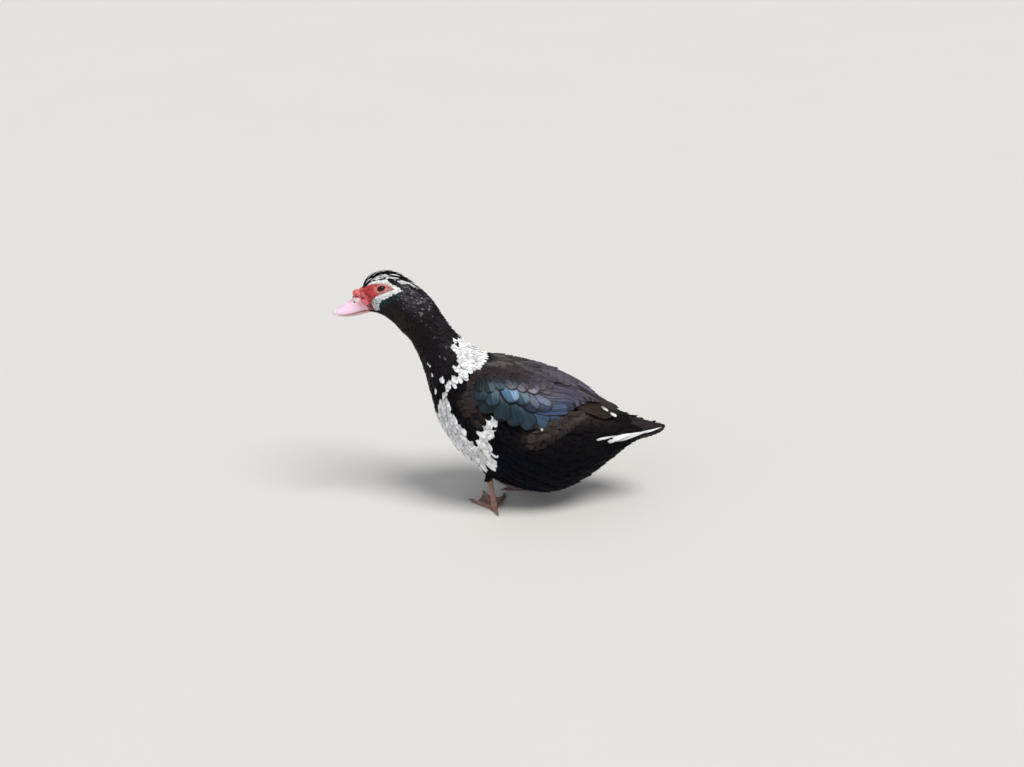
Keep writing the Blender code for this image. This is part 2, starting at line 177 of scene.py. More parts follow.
def wingSpot(t, turn):
    # the inverse of wingPlace: where on the folded wing a place on the body is
    along = (t - wing["frontT"]) / (wing["backT"] - wing["frontT"])
    upper = smoothCurve(wing["edgeAt"], wing["upper"], along)
    lower = smoothCurve(wing["edgeAt"], wing["lower"], along)
    return along, (np.abs(turn) - upper) / (lower - upper)


def tailSheet(t, aside, lift=0.0):
    # the folded tail: aside metres from its middle line, it falls as the 1.8th power of its share of the width
    t, aside = np.broadcast_arrays(np.asarray(t, float), np.asarray(aside, float))
    row = smoothRows(body["stations"], t) * 0.01
    fall = 0.55 * np.clip(np.abs(aside) / row[..., 4], 0, 1.25) ** 1.8
    x = row[..., 0] + (row[..., 2] - row[..., 0]) * fall + body["shift"]
    z = row[..., 1] + (row[..., 3] - row[..., 1]) * fall
    return np.stack([x, -aside, z + lift], -1)


# Markings
markings = {
    "neckBlack": (0.0085, 0.0068, 0.0088),
    "neckPurple": (0.020, 0.0125, 0.021),
    "napeHighlight": (0.046, 0.039, 0.045),
    "throatBrown": (0.034, 0.024, 0.015),
    "backHighlightGrey": (0.105, 0.094, 0.090),
    "bodyBlack": (0.0050, 0.0044, 0.0056),
    "backBrown": (0.027, 0.020, 0.021),
    "bellyShadeNavy": (0.0020, 0.0028, 0.0062),
    "flankBrown": (0.068, 0.050, 0.043),
    "cheekGreen": (0.011, 0.042, 0.036),
    "white": (0.80, 0.81, 0.83),
    "cheekGrey": (0.22, 0.25, 0.24),
    "palePink": (0.84, 0.56, 0.55),
    "red": (0.56, 0.034, 0.040),
    "deepRed": (0.30, 0.012, 0.014),
    "lobeHighlightPink": (0.90, 0.250, 0.280),
    "knobPink": (0.84, 0.22, 0.16),
    "lidPink": (0.66, 0.26, 0.24),
    "collarFrontTurn": [0, 29, 50, 62, 77, 90, 111, 134, 150, 180],
    "collarFront": [7.0, 6.9, 6.95, 7.3, 7.60, 7.68, 7.72, 8.02, 8.40, 8.75],
    "collarBackTurn": [0, 22, 41, 63, 82, 100, 111, 115, 117, 119, 122, 126, 132, 180],
    "collarBack": [8.34, 8.30, 8.26, 8.18, 8.06, 8.00, 8.02, 8.25, 8.85, 9.45, 9.93, 10.5, 10.7, 10.55],
    "flankFrontTurn": [80, 88, 96, 104, 114, 122, 128],
    "flankFront": [9.86, 9.64, 9.72, 9.82, 9.90, 9.94, 9.90],
    "flankBackTurn": [80, 86, 95, 104, 113, 125, 131, 140],
    "flankBack": [10.0, 10.12, 10.17, 10.29, 10.48, 10.70, 10.74, 10.6],
    # small white patches before the collar: t, turn and radius in metres
    "whiteSpots": [(7.45, 104, 0.0050), (6.55, 123, 0.0026), (6.95, 127, 0.0034), (7.72, 135, 0.0040)],
    # outlines on the head as (t, turn)
    "redArea": [(-0.5, 0), (1.30, 0), (1.45, 20), (1.63, 30.5), (2.19, 35.5), (2.53, 39.5), (2.95, 47), (3.30, 52),
                (3.14, 58), (2.64, 70), (2.11, 77), (1.62, 84), (1.38, 92), (1.26, 106), (1.05, 122), (-0.5, 122)],
    "hornArea": [(-0.5, 8), (0.16, 10), (0.24, 24), (0.50, 37), (0.80, 46), (0.66, 56), (0.50, 69), (0.62, 80),
                 (0.72, 90), (0.60, 106), (0.35, 122), (-0.5, 122)],
    "browLow": [(1.64, 29), (2.1, 27), (2.36, 27), (2.56, 28), (2.81, 28), (3.0, 33), (3.15, 38), (3.30, 43), (3.50, 45),
                (3.70, 47), (3.66, 51), (3.46, 55), (3.30, 53), (2.95, 48), (2.53, 40.5), (2.19, 36.5), (1.63, 31.5)],
    "browHigh": [(2.10, 27), (2.20, 21), (2.36, 17), (2.56, 12), (2.81, 9), (3.09, 14), (3.35, 18), (3.66, 19), (3.85, 16),
                 (4.05, 7), (4.2, 0), (4.5, 0), (4.42, 8), (4.16, 17), (3.94, 23), (3.72, 27), (3.40, 28), (3.09, 27),
                 (2.84, 22.5), (2.56, 25.5)],
    "cheekArea": [(3.66, 50), (3.46, 60), (3.15, 72.5), (2.76, 81), (2.45, 86.5), (2.14, 99), (1.94, 119), (1.43, 127),
                  (1.24, 127), (1.27, 106), (1.40, 92), (1.64, 84), (2.12, 77), (2.65, 70), (3.16, 58), (3.32, 52)],
    "greenArea": [(3.66, 51), (3.80, 57), (3.55, 68), (3.25, 80), (2.95, 92), (2.5, 104), (2.1, 118), (1.95, 119), (2.14, 99),
                  (2.45, 86.5), (2.76, 81), (3.15, 72.5), (3.46, 60)],
}


def within(outline, x, y):
    # whether each point is inside the outline: the number of edges it has on one side is odd
    odd = np.zeros(np.shape(x), bool)
    for (x1, y1), (x2, y2) in zip(outline, outline[1:] + outline[:1]):
        crosses = (y1 > y) != (y2 > y)
        at = x1 + (y - y1) / np.where(y2 == y1, 1e-9, y2 - y1) * (x2 - x1)
        odd ^= crosses & (x < at)
    return odd


def soft(outline, t, turn, blurT=0.05, blurTurn=1.8):
    # the mean of within() at nine places about each point
    total = 0.0
    for a in (-1, 0, 1):
        for b in (-1, 0, 1):
            total = total + within(outline, t + a * blurT, turn + b * blurTurn)
    return total / 9.0


def ripple(points, size, seed):
    # the mean of seven sine waves of about this wavelength in random directions, from -1 to 1
    chance = np.random.default_rng(seed)
    total = 0.0
    for _ in range(7):
        way = chance.normal(size=3)
        way *= 2 * np.pi / size * chance.uniform(0.7, 1.4) / np.linalg.norm(way)
        total = total + np.sin(points @ way + chance.uniform(0, 6.28))
    return total / 3.0


def mixTo(colour, other, share):
    return colour + (np.asarray(other) - colour) * np.asarray(share)[..., None]


def coatColour(t, turn, points):
    # the colour of skin or coat at a place, in order from the dark ground to the white and red marks
    side = np.where(turn < 0, -1.0, 1.0)
    turn = np.abs(turn)
    t = t + np.where(side < 0, 0.05 * np.sin(turn / 17.0), 0.0)
    m = markings
    colour = np.zeros(np.shape(t) + (3,)) + m["neckBlack"]
    colour = mixTo(colour, m["neckPurple"], step(0.1, 0.9, ripple(points, 0.035, 3)) * step(160, 100, turn))
    # a lighter grey on the upper sides of the neck behind the head is a painted highlight
    nape = step(3.3, 3.9, t) * step(5.4, 4.5, t) * step(10, 30, turn) * step(92, 60, turn)
    colour = mixTo(colour, m["napeHighlight"], nape * (0.55 + 0.45 * ripple(points, 0.010, 19)).clip(0, 1))
    throat = step(2.6, 3.2, t) * step(5.3, 4.3, t) * step(84, 106, turn)
    colour = mixTo(colour, m["throatBrown"], throat * (0.55 + 0.45 * ripple(points, 0.008, 23)).clip(0, 1))
    colour = mixTo(colour, m["bodyBlack"], step(7.4, 8.6, t))
    colour = mixTo(colour, m["backBrown"], step(8.2, 8.8, t) * step(66, 40, turn) * step(14.6, 13.2, t))
    # navy black on the underside: partly the plumage's own colour, partly painted shade
    colour = mixTo(colour, m["bellyShadeNavy"], step(9.6, 10.8, t) * step(88, 108, turn))
    brown = step(8.35, 8.6, t) * step(9.9, 9.3, t) * step(80, 88, turn) * step(106, 96, turn)
    along, across = wingSpot(t, turn)
    tufts = step(0.42, 0.47, along) * step(0.65, 0.58, along) * step(0.86, 0.94, across) * step(1.18, 1.08, across)
    fuzz = step(0.58, 0.64, along) * step(0.90, 0.80, along) * step(0.66, 0.76, across) * step(1.20, 1.00, across)
    brown = brown + 0.9 * tufts + 0.55 * fuzz
    colour = mixTo(colour, m["flankBrown"], np.clip(brown, 0, 1) * (0.55 + 0.45 * ripple(points, 0.018, 8)).clip(0, 1))
    scales = 0.30 + 0.70 * step(-0.3, 0.3, ripple(points, 0.0055, 12))
    colour = mixTo(colour, m["cheekGreen"], soft(m["greenArea"], t, turn) * scales)
    front = np.interp(turn, m["collarFrontTurn"], m["collarFront"])
    back = np.interp(turn, m["collarBackTurn"], m["collarBack"])
    ragged = 0.10 * ripple(points, 0.013, 5)
    white = (t + ragged > front) & (t - 0.5 * ragged < back)
    flankStart = np.interp(turn, m["flankFrontTurn"], m["flankFront"])
    flankEnd = np.interp(turn, m["flankBackTurn"], m["flankBack"]) + 0.12 * np.sin(turn * 0.9)
    white |= (turn > 80) & (turn < 140) & (t > flankStart) & (t < flankEnd)
    for spotT, spotTurn, radius in m["whiteSpots"]:
        centre = bodySheet(np.full(2, spotT), np.array([spotTurn, -spotTurn]), np.zeros(2))
        white |= np.minimum(*(np.linalg.norm(points - place, axis=-1) for place in centre)) < radius
    cheek = within(m["cheekArea"], t, turn)
    white |= within(m["browLow"], t, turn) | within(m["browHigh"], t, turn) | cheek
    colour = mixTo(colour, m["white"], white)
    colour = mixTo(colour, m["cheekGrey"], cheek * step(0.1, 0.7, ripple(points, 0.0060, 14)) * step(2.9, 2.2, t) * 0.75)
    bare = soft(m["redArea"], t, turn)
    return mixTo(colour, m["red"], bare)


# Mesh builders
def addPiece(name, points, loops, counts, looks, body="root"):
    mesh = bpy.data.meshes.new(name)
    points = np.asarray(points, np.float32).reshape(-1, 3)
    mesh.vertices.add(len(points))
    mesh.vertices.foreach_set("co", points.ravel())
    mesh.loops.add(len(loops))
    mesh.loops.foreach_set("vertex_index", np.asarray(loops, np.int32))
    starts = np.concatenate([[0], np.cumsum(counts)[:-1]])
    mesh.polygons.add(len(counts))
    mesh.polygons.foreach_set("loop_start", starts.astype(np.int32))
    mesh.polygons.foreach_set("use_smooth", np.ones(len(counts), bool))
    mesh.update(calc_edges=True)
    for look in looks:
        mesh.materials.append(look)
    piece = bpy.data.objects.new(name, mesh)
    bpy.context.scene.collection.objects.link(piece)
    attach(piece, body)
    print(f"  {name}: {len(points)} points, {int(np.sum(np.asarray(counts) - 2))} triangles")
    return piece


def volumeOf(points, loops, counts):
    # six times the signed volume, from the first three corners of every face
    starts = np.concatenate([[0], np.cumsum(counts)[:-1]])
    flat = points.reshape(-1, 3)
    centre = flat.mean(0)
    a, b, c = (flat[loops[starts + k]] - centre for k in range(3))
    return np.einsum("ij,ij->", a, np.cross(b, c))


def addMap(piece, name, uv):
    # one (u, v) for each corner of each face
    layer = piece.data.uv_layers.new(name=name)
    layer.data.foreach_set("uv", np.asarray(uv, np.float32).ravel())


def addColours(piece, name, colours):
    layer = piece.data.color_attributes.new(name, "FLOAT_COLOR", "POINT")
    layer.data.foreach_set("color", np.asarray(colours, np.float32).ravel())


def ringFaces(rings, sides):
    # corners and corner counts of a closed tube of rings with its two ends filled
    k, j = np.meshgrid(np.arange(rings - 1), np.arange(sides), indexing="ij")
    after = (j + 1) % sides
    quads = np.stack([k * sides + j, (k + 1) * sides + j, (k + 1) * sides + after, k * sides + after], -1)
    ends = [np.arange(sides), np.arange(rings * sides - 1, (rings - 1) * sides - 1, -1)]
    loops = np.concatenate([quads.ravel(), *ends])
    counts = np.concatenate([np.full((rings - 1) * sides, 4), [sides, sides]])
    return loops, counts


def outward(points, loops, counts):
    # the same faces, each turned round if the shape is inside out
    if volumeOf(points, loops, counts) > 0:
        return loops
    starts = np.concatenate([[0], np.cumsum(counts)[:-1]])
    owner = np.repeat(np.arange(len(counts)), counts)
    place = np.arange(len(loops)) - starts[owner]
    return loops[starts[owner] + (counts[owner] - 1 - place)]


# Feathers. A section is the ring round a vane: how far across from -1 to 1, and how high in thicknesses.
sections = {
    "small": [(-1, 0), (0, 1.0), (1, 0), (0, -0.6)],
    "medium": [(-1, 0), (-0.5, 0.8), (0, 1.3), (0.5, 0.8), (1, 0), (0, -0.6)],
    "large": [(-1, 0), (-0.7, 0.7), (-0.35, 0.9), (-0.06, 1.0), (0, 1.5), (0.06, 1.0), (0.35, 0.9), (0.7, 0.7), (1, 0),
              (0.5, -0.7), (0, -1.0), (-0.5, -0.7)],
}


def roundVane(b):
    # quickly wide, then the quarter of an ellipse to a round tip
    return np.minimum(1, 0.40 + 2.0 * b) * np.sqrt(1 - np.clip((b - 0.58) / 0.43, 0, 1) ** 2.3)


def longVane(b):
    # parallel sides and a short round tip
    return np.minimum(1, 0.35 + 3.0 * b) * np.sqrt(1 - np.clip((b - 0.84) / 0.165, 0, 1) ** 2.0)


def hairVane(b):
    # widest near its middle, and a thin tip
    return np.minimum(1, 0.45 + 1.8 * b) * np.clip(1 - b ** 2.2, 0.05, 1)


vanes = {"round": roundVane, "long": longVane, "hair": hairVane}


def sheetFrame(sheet, u, v, steps):
    # the place on a sheet, its two slopes, and the unit ways along u and across it
    here = sheet(u, v, 0.0)
    du = (sheet(u + steps[0], v, 0.0) - here) / steps[0]
    dv = (sheet(u, v + steps[1], 0.0) - here) / steps[1]
    e1 = du / sizeOf(du)
    out = np.cross(dv, du)
    return du, dv, e1, np.cross(e1, out / sizeOf(out))


def inSheet(du, dv, vector):
    # the steps of u and v that make this step in space
    g11, g12, g22 = (np.einsum("ij,ij->i", a, b) for a, b in ((du, du), (du, dv), (dv, dv)))
    p, q = np.einsum("ij,ij->i", vector, du), np.einsum("ij,ij->i", vector, dv)
    det = g11 * g22 - g12 ** 2
    return (g22 * p - g12 * q) / det, (g11 * q - g12 * p) / det


def walkBack(sheet, u, v, way, length, steps, strides=12):
    # from feather tips to their roots
    u, v, way = np.array(u, float), np.array(v, float), np.radians(way)[:, None]
    for _ in range(strides):
        du, dv, e1, e2 = sheetFrame(sheet, u, v, steps)
        stepU, stepV = inSheet(du, dv, np.cos(way) * e1 + np.sin(way) * e2)
        u, v = u - stepU * length / strides, v - stepV * length / strides
    return u, v


def layFeathers(sheet, u, v, way, length, width, style, chance):
    # each feather is a flat tube that starts at its root and marches over the sheet in its own direction,
    # rising from the skin to the top of the coat, its edges lower than its shaft
    count = len(u)
    section = np.array(sections[style["section"]], float)
    along = 1 - (1 - np.linspace(0, 1, style["rings"])) ** 1.5
    outline = vanes[style["vane"]](along)
    u, v = u.copy(), v.copy()
    bend = np.radians(chance.normal(0, style.get("sway", 4.0), count))
    way = np.radians(way)
    tip = style["tip"] + chance.normal(0, style.get("tipSpread", 0.0004), count)
    points = np.empty((count, style["rings"], len(section), 3))
    middle = np.empty((count, 2))
    for k in range(style["rings"]):
        du, dv, e1, e2 = sheetFrame(sheet, u, v, style.get("steps", (1e-3, 0.05)))
        turned = (way + bend * along[k])[:, None]
        sideU, sideV = inSheet(du, dv, np.cos(turned) * e2 - np.sin(turned) * e1)
        half = width / 2 * max(outline[k], 0.10)
        reach = half[:, None] * section[:, 0]
        base = style["root"] + (tip - style["root"]) * along[k] ** style.get("rise", 0.8)
        thick = style["thick"] * (1 - 0.6 * along[k])
        lift = base[:, None] - style["camber"] * np.abs(reach) ** 1.5 / (half[:, None] ** 0.5) + thick * section[:, 1]
        points[:, k] = sheet(u[:, None] + sideU[:, None] * reach, v[:, None] + sideV[:, None] * reach, lift)
        if along[k] <= 0.75:
            middle = np.stack([u, v], -1)
        if k + 1 < style["rings"]:
            stepU, stepV = inSheet(du, dv, np.cos(turned) * e1 + np.sin(turned) * e2)
            stride = length * (along[k + 1] - along[k])
            u, v = u + stepU * stride, v + stepV * stride
    return points, along, section, middle


def addFeathers(name, points, along, section, colours, rootMap, patchSize, looks):
    # joins feathers of one shape into a piece, with a colour on every point, a vane map and the bake's own map
    count, rings, sides = points.shape[:3]
    oneLoops, oneCounts = ringFaces(rings, sides)
    oneLoops = outward(points[0].reshape(-1, 3), oneLoops, oneCounts)
    loops = (oneLoops[None] + np.arange(count)[:, None] * rings * sides).ravel()
    piece = addPiece(name, points, loops, np.tile(oneCounts, count), looks)
    across = np.broadcast_to((section[:, 0] + 1) / 2, (rings, sides)).ravel()
    ahead = np.broadcast_to(along[:, None], (rings, sides)).ravel()
    vane = np.stack([across[oneLoops], ahead[oneLoops]], -1)
    addMap(piece, "vane", np.tile(vane, (count, 1)))
    patch = (vane - 0.5) * patchSize
    addMap(piece, "OFBake", np.clip(rootMap[:, None] + patch[None], 0.001, 0.999))
    addColours(piece, "tint", np.broadcast_to(colours, (count, rings, sides, 4)))
    piece.data.set_sharp_from_angle(angle=np.radians(75))
    return piece


def joinFeathers(parts):
    # several groups of feathers of one section and ring count as one
    points = np.concatenate([part[0] for part in parts])
    colours = np.concatenate([np.broadcast_to(part[1], part[0].shape[:3] + (4,)) for part in parts])
    roots = np.concatenate([part[2] for part in parts])
    return points, colours, roots


def spread(tFirst, tLast, turnFirst, turnLast, rowStep, columnStep, chance):
    # roots in staggered rows round the body, each row's places even along its length
    fine = np.linspace(turnFirst, turnLast, 241)
    tFine = np.linspace(tFirst, tLast, 81)
    lane = loftPoint(body["stations"], tFine[:, None], np.array([[45.0, 90.0, 135.0]]))
    strides = np.linalg.norm(np.diff(lane, axis=0), axis=-1).mean(1)
    walked = np.concatenate([[0], np.cumsum(strides)])
    rows = np.interp(np.arange(0, walked[-1], rowStep), walked, tFine)
    found = []
    for number, t in enumerate(rows):
        line = loftPoint(body["stations"], np.full(len(fine), t), fine)
        reach = np.concatenate([[0], np.cumsum(np.linalg.norm(np.diff(line, axis=0), axis=1))])
        count = max(2, int(reach[-1] / columnStep))
        at = (np.arange(count) + (0.25 if number % 2 else 0.75)) * reach[-1] / count
        turn = np.interp(at, reach, fine)
        found.append(np.stack([np.full(count, t), turn], -1))
    roots = np.concatenate(found)
    stepT = np.gradient(rows).mean()
    roots[:, 0] += chance.normal(0, 0.16, len(roots)) * stepT
    roots[:, 1] += chance.normal(0, 0.10, len(roots)) * columnStep / 0.0006
    # how far a row is from the next one here, beside what it is on average
    ahead = loftPoint(body["stations"], roots[:, 0] + stepT, roots[:, 1])
    here = loftPoint(body["stations"], roots[:, 0], roots[:, 1])
    stretch = np.linalg.norm(ahead - here, axis=1) / rowStep
    return roots[:, 0], roots[:, 1], np.clip(stretch, 0.55, 1.9)


def bodyMap(t, turn):
    # the unwrap of the body's own shape: from bill to tail, and once round
    return np.stack([0.02 + 0.80 * np.clip(t / 18.0, 0, 1), 0.5 + turn / 372.0], -1)


eyes = {
    "at": (2.59, 56.0),
    "radius": 0.0060,
    "inset": 0.0040,
    "openingAlong": 0.0059,
    "openingUp": 0.0037,
    "tilt": -14.0,
}


def eyeFrame(side):
    # the eye's centre, and the ways outwards, to the back of the head and up
    t, turn = np.array([eyes["at"][0]]), np.array([side * eyes["at"][1]])
    surface = bodySheet(t, turn, np.zeros(1))[0]
    out = bodySheet(t, turn, np.ones(1))[0] - surface
    back = bodySheet(t + 0.01, turn, np.zeros(1))[0] - surface
    back -= out * (back @ out)
    back /= np.linalg.norm(back)
    up = np.cross(out, back) * -side
    tilt = np.radians(eyes["tilt"])
    back, up = back * np.cos(tilt) + up * np.sin(tilt), up * np.cos(tilt) - back * np.sin(tilt)
    return surface - out * eyes["inset"], out, back, up


eyeFrames = {1: eyeFrame(1), -1: eyeFrame(-1)}


def fromEye(points, side):
    # places about the eye: how far back, up and out from its middle
    centre, out, back, up = eyeFrames[side]
    away = points - centre
    return away @ back, away @ up, away @ out


# Node groups and materials
def put(tree, socket, value):
    # a socket is linked, and a number or a colour is set
    if isinstance(value, bpy.types.NodeSocket):
        tree.links.new(value, socket)
    elif value is not None:
        socket.default_value = value


def maths(tree, operation, *values):
    node = tree.nodes.new("ShaderNodeMath")
    node.operation = operation
    for socket, value in zip(node.inputs, values):
        put(tree, socket, value)
    return node.outputs[0]


def blended(tree, share, first, second, way="MIX"):
    node = tree.nodes.new("ShaderNodeMix")
    node.data_type = "RGBA"
    node.blend_type = way
    put(tree, node.inputs[0], share)
    put(tree, node.inputs[6], first)
    put(tree, node.inputs[7], second)
    return node.outputs[2]


def ranged(tree, value, low, high, toLow=0.0, toHigh=1.0):
    node = tree.nodes.new("ShaderNodeMapRange")
    node.interpolation_type = "SMOOTHSTEP"
    for socket, given in zip(node.inputs, (value, low, high, toLow, toHigh)):
        put(tree, socket, given)
    return node.outputs[0]


def noiseOf(tree, place, scale, detail=3.0, stretch=None):
    if stretch:
        mapping = tree.nodes.new("ShaderNodeMapping")
        mapping.inputs["Scale"].default_value = stretch
        tree.links.new(place, mapping.inputs["Vector"])
        place = mapping.outputs[0]
    node = tree.nodes.new("ShaderNodeTexNoise")
    tree.links.new(place, node.inputs["Vector"])
    node.inputs["Scale"].default_value = scale
    node.inputs["Detail"].default_value = detail
    return node.outputs[0]


def cellsOf(tree, place, scale, feature="F1"):
    node = tree.nodes.new("ShaderNodeTexVoronoi")
    node.feature = feature
    tree.links.new(place, node.inputs["Vector"])
    node.inputs["Scale"].default_value = scale
    return node.outputs["Distance"]


def newGroup(name, inputs, outputs):
    tree = bpy.data.node_groups.new(name, "ShaderNodeTree")
    for direction, sockets in (("INPUT", inputs), ("OUTPUT", outputs)):
        for label, kind, start in sockets:
            socket = tree.interface.new_socket(label, in_out=direction, socket_type="NodeSocket" + kind)
            if start is not None:
                socket.default_value = start
    return tree, tree.nodes.new("NodeGroupInput").outputs, tree.nodes.new("NodeGroupOutput").inputs


def featherVaneGroup():
    # barbs run out and forwards from the shaft, part in places, and the vane is darker at its rim and base
    tree, given, gives = newGroup(
        "featherVane",
        [("Tint", "Color", (0.02, 0.02, 0.02, 1)), ("Chance", "Float", 0.5), ("Barbs", "Float", 40.0),
         ("Shaft", "Float", 0.3), ("Rim", "Float", 0.5), ("Rim colour", "Color", (0.02, 0.015, 0.012, 1)),
         ("Fray", "Float", 0.5), ("Streaks", "Float", 0.25)],
        [("Colour", "Color", None), ("Height", "Float", None), ("Rough", "Float", None), ("Gloss", "Float", None)],
    )
    uv = tree.nodes.new("ShaderNodeUVMap")
    uv.uv_map = "vane"
    parts = tree.nodes.new("ShaderNodeSeparateXYZ")
    tree.links.new(uv.outputs[0], parts.inputs[0])
    across = maths(tree, "ABSOLUTE", maths(tree, "SUBTRACT", maths(tree, "MULTIPLY", parts.outputs[0], 2.0), 1.0))
    along = parts.outputs[1]
    place = tree.nodes.new("ShaderNodeTexCoord").outputs["Object"]
    wobble = noiseOf(tree, place, 260.0, 2.0)
    slanted = maths(tree, "SUBTRACT", along, maths(tree, "MULTIPLY", across, 0.22))
    slanted = maths(tree, "ADD", slanted, maths(tree, "MULTIPLY", wobble, 0.05))
    phase = maths(tree, "MULTIPLY", maths(tree, "MULTIPLY", slanted, given["Barbs"]), 6.2832)
    barb = maths(tree, "ADD", maths(tree, "MULTIPLY", maths(tree, "SINE", phase), 0.5), 0.5)
    split = noiseOf(tree, place, 420.0, 2.0)
    split = maths(tree, "MULTIPLY", ranged(tree, split, 0.56, 0.66), given["Fray"])
    split = maths(tree, "MULTIPLY", split, ranged(tree, across, 0.15, 0.8))
    shaft = maths(tree, "MULTIPLY", ranged(tree, across, 0.10, 0.03), ranged(tree, along, 1.0, 0.75))
    tipward = ranged(tree, along, 0.88, 0.985)
    edge = maths(tree, "MAXIMUM", ranged(tree, across, 0.78, 0.97), tipward)
    colour = blended(tree, maths(tree, "MULTIPLY", edge, given["Rim"]), given["Tint"], given["Rim colour"])
    tone = maths(tree, "ADD", 0.72, maths(tree, "MULTIPLY", given["Chance"], 0.56))
    shifted = tree.nodes.new("ShaderNodeCombineXYZ")
    tree.links.new(parts.outputs[0], shifted.inputs[0])
    tree.links.new(along, shifted.inputs[1])
    tree.links.new(maths(tree, "MULTIPLY", given["Chance"], 37.0), shifted.inputs[2])
    streak = noiseOf(tree, shifted.outputs[0], 3.0, 3.0, (3.2, 0.45, 1.0))
    streak = maths(tree, "MULTIPLY", maths(tree, "SUBTRACT", ranged(tree, streak, 0.35, 0.65, 0.45, 1.6), 1.0), given["Streaks"])
    tone = maths(tree, "MULTIPLY", tone, maths(tree, "ADD", 1.0, streak))
    dark = maths(tree, "SUBTRACT", 1.0, maths(tree, "MULTIPLY", split, 0.45))
    barbTone = maths(tree, "ADD", 0.86, maths(tree, "MULTIPLY", barb, 0.20))
    tone = maths(tree, "MULTIPLY", maths(tree, "MULTIPLY", tone, dark), barbTone)
    scaled = tree.nodes.new("ShaderNodeVectorMath")
    scaled.operation = "SCALE"
    tree.links.new(colour, scaled.inputs[0])
    tree.links.new(tone, scaled.inputs["Scale"])
    shaftTone = blended(tree, 0.35, given["Tint"], (0.10, 0.08, 0.07, 1))
    colour = blended(tree, maths(tree, "MULTIPLY", shaft, given["Shaft"]), scaled.outputs[0], shaftTone)
    tree.links.new(colour, gives["Colour"])
    height = maths(tree, "ADD", maths(tree, "MULTIPLY", barb, 0.30), maths(tree, "MULTIPLY", shaft, 1.0))
    tree.links.new(maths(tree, "SUBTRACT", height, split), gives["Height"])
    tree.links.new(maths(tree, "ADD", maths(tree, "MULTIPLY", split, 0.25), maths(tree, "MULTIPLY", edge, 0.12)), gives["Rough"])
    tree.links.new(maths(tree, "SUBTRACT", 1.0, edge), gives["Gloss"])
    return tree


def skinGrainGroup():
    # a net of fine cells with creases between them, over broad soft patches
    tree, given, gives = newGroup(
        "skinGrain",
        [("Tint", "Color", (0.4, 0.05, 0.04, 1)), ("Cells", "Float", 900.0), ("Crease shade", "Float", 0.5),
         ("Patch colour", "Color", (0.7, 0.3, 0.3, 1)), ("Patches", "Float", 0.3)],
        [("Colour", "Color", None), ("Height", "Float", None), ("Rough", "Float", None)],
    )
    place = tree.nodes.new("ShaderNodeTexCoord").outputs["Object"]
    cells = tree.nodes.new("ShaderNodeTexVoronoi")
    tree.links.new(place, cells.inputs["Vector"])
    tree.links.new(given["Cells"], cells.inputs["Scale"])
    bump = maths(tree, "SUBTRACT", 1.0, cells.outputs["Distance"])
    broad = noiseOf(tree, place, 130.0, 4.0)
    fine = noiseOf(tree, place, 1500.0, 3.0)
    colour = blended(tree, maths(tree, "MULTIPLY", ranged(tree, broad, 0.40, 0.70), given["Patches"]),
                     given["Tint"], given["Patch colour"])
    # creases between the cells are darker: partly the skin's own colour, partly painted shade
    shade = maths(tree, "MULTIPLY", ranged(tree, cells.outputs["Distance"], 0.35, 0.75), given["Crease shade"])
    colour = blended(tree, shade, colour, blended(tree, 1.0, colour, (0.35, 0.28, 0.28, 1), "MULTIPLY"))
    tree.links.new(colour, gives["Colour"])
    tree.links.new(maths(tree, "ADD", bump, maths(tree, "MULTIPLY", fine, 0.25)), gives["Height"])
    tree.links.new(maths(tree, "MULTIPLY", maths(tree, "SUBTRACT", fine, 0.5), 0.25), gives["Rough"])
    return tree


groups = {"vane": featherVaneGroup(), "grain": skinGrainGroup()}


def newLook(name, settings):
    # an empty Principled material with these fixed values on its own sockets
    look = bpy.data.materials.new(name)
    look.use_nodes = True
    shader = look.node_tree.nodes["Principled BSDF"]
    for socket, value in settings.items():
        shader.inputs[socket].default_value = value
    return look, look.node_tree, shader


def useGroup(tree, group, values):
    node = tree.nodes.new("ShaderNodeGroup")
    node.node_tree = groups[group]
    for socket, value in values.items():
        put(tree, node.inputs[socket], value)
    return node.outputs


def bumped(tree, shader, height, strength, distance):
    node = tree.nodes.new("ShaderNodeBump")
    node.inputs["Strength"].default_value = strength
    node.inputs["Distance"].default_value = distance
    tree.links.new(height, node.inputs["Height"])
    tree.links.new(node.outputs[0], shader.inputs["Normal"])


def tintOf(tree, name="tint"):
    node = tree.nodes.new("ShaderNodeAttribute")
    node.attribute_name = name
    return node.outputs["Color"], node.outputs["Alpha"]


def plumageLook(name, values):
    fixed = {"Metallic": values["metal"], "Specular IOR Level": values.get("specular", 0.5),
             "Sheen Weight": values.get("sheen", 0.0), "Sheen Roughness": 0.35}
    look, tree, shader = newLook(name, fixed)
    shader.inputs["Sheen Tint"].default_value = (*values.get("sheenTint", (1, 1, 1)), 1)
    tint, chance = tintOf(tree)
    vane = useGroup(tree, "vane", {
        "Tint": tint, "Chance": chance, "Barbs": values["barbs"], "Shaft": values["shaft"], "Rim": values["rim"],
        "Rim colour": (*values["rimColour"], 1), "Fray": values["fray"], "Streaks": values.get("streaks", 0.25)})
    tree.links.new(vane["Colour"], shader.inputs["Base Color"])
    tree.links.new(maths(tree, "ADD", vane["Rough"], values["rough"]), shader.inputs["Roughness"])
    bumped(tree, shader, vane["Height"], values["bump"], 0.0003)
    return look


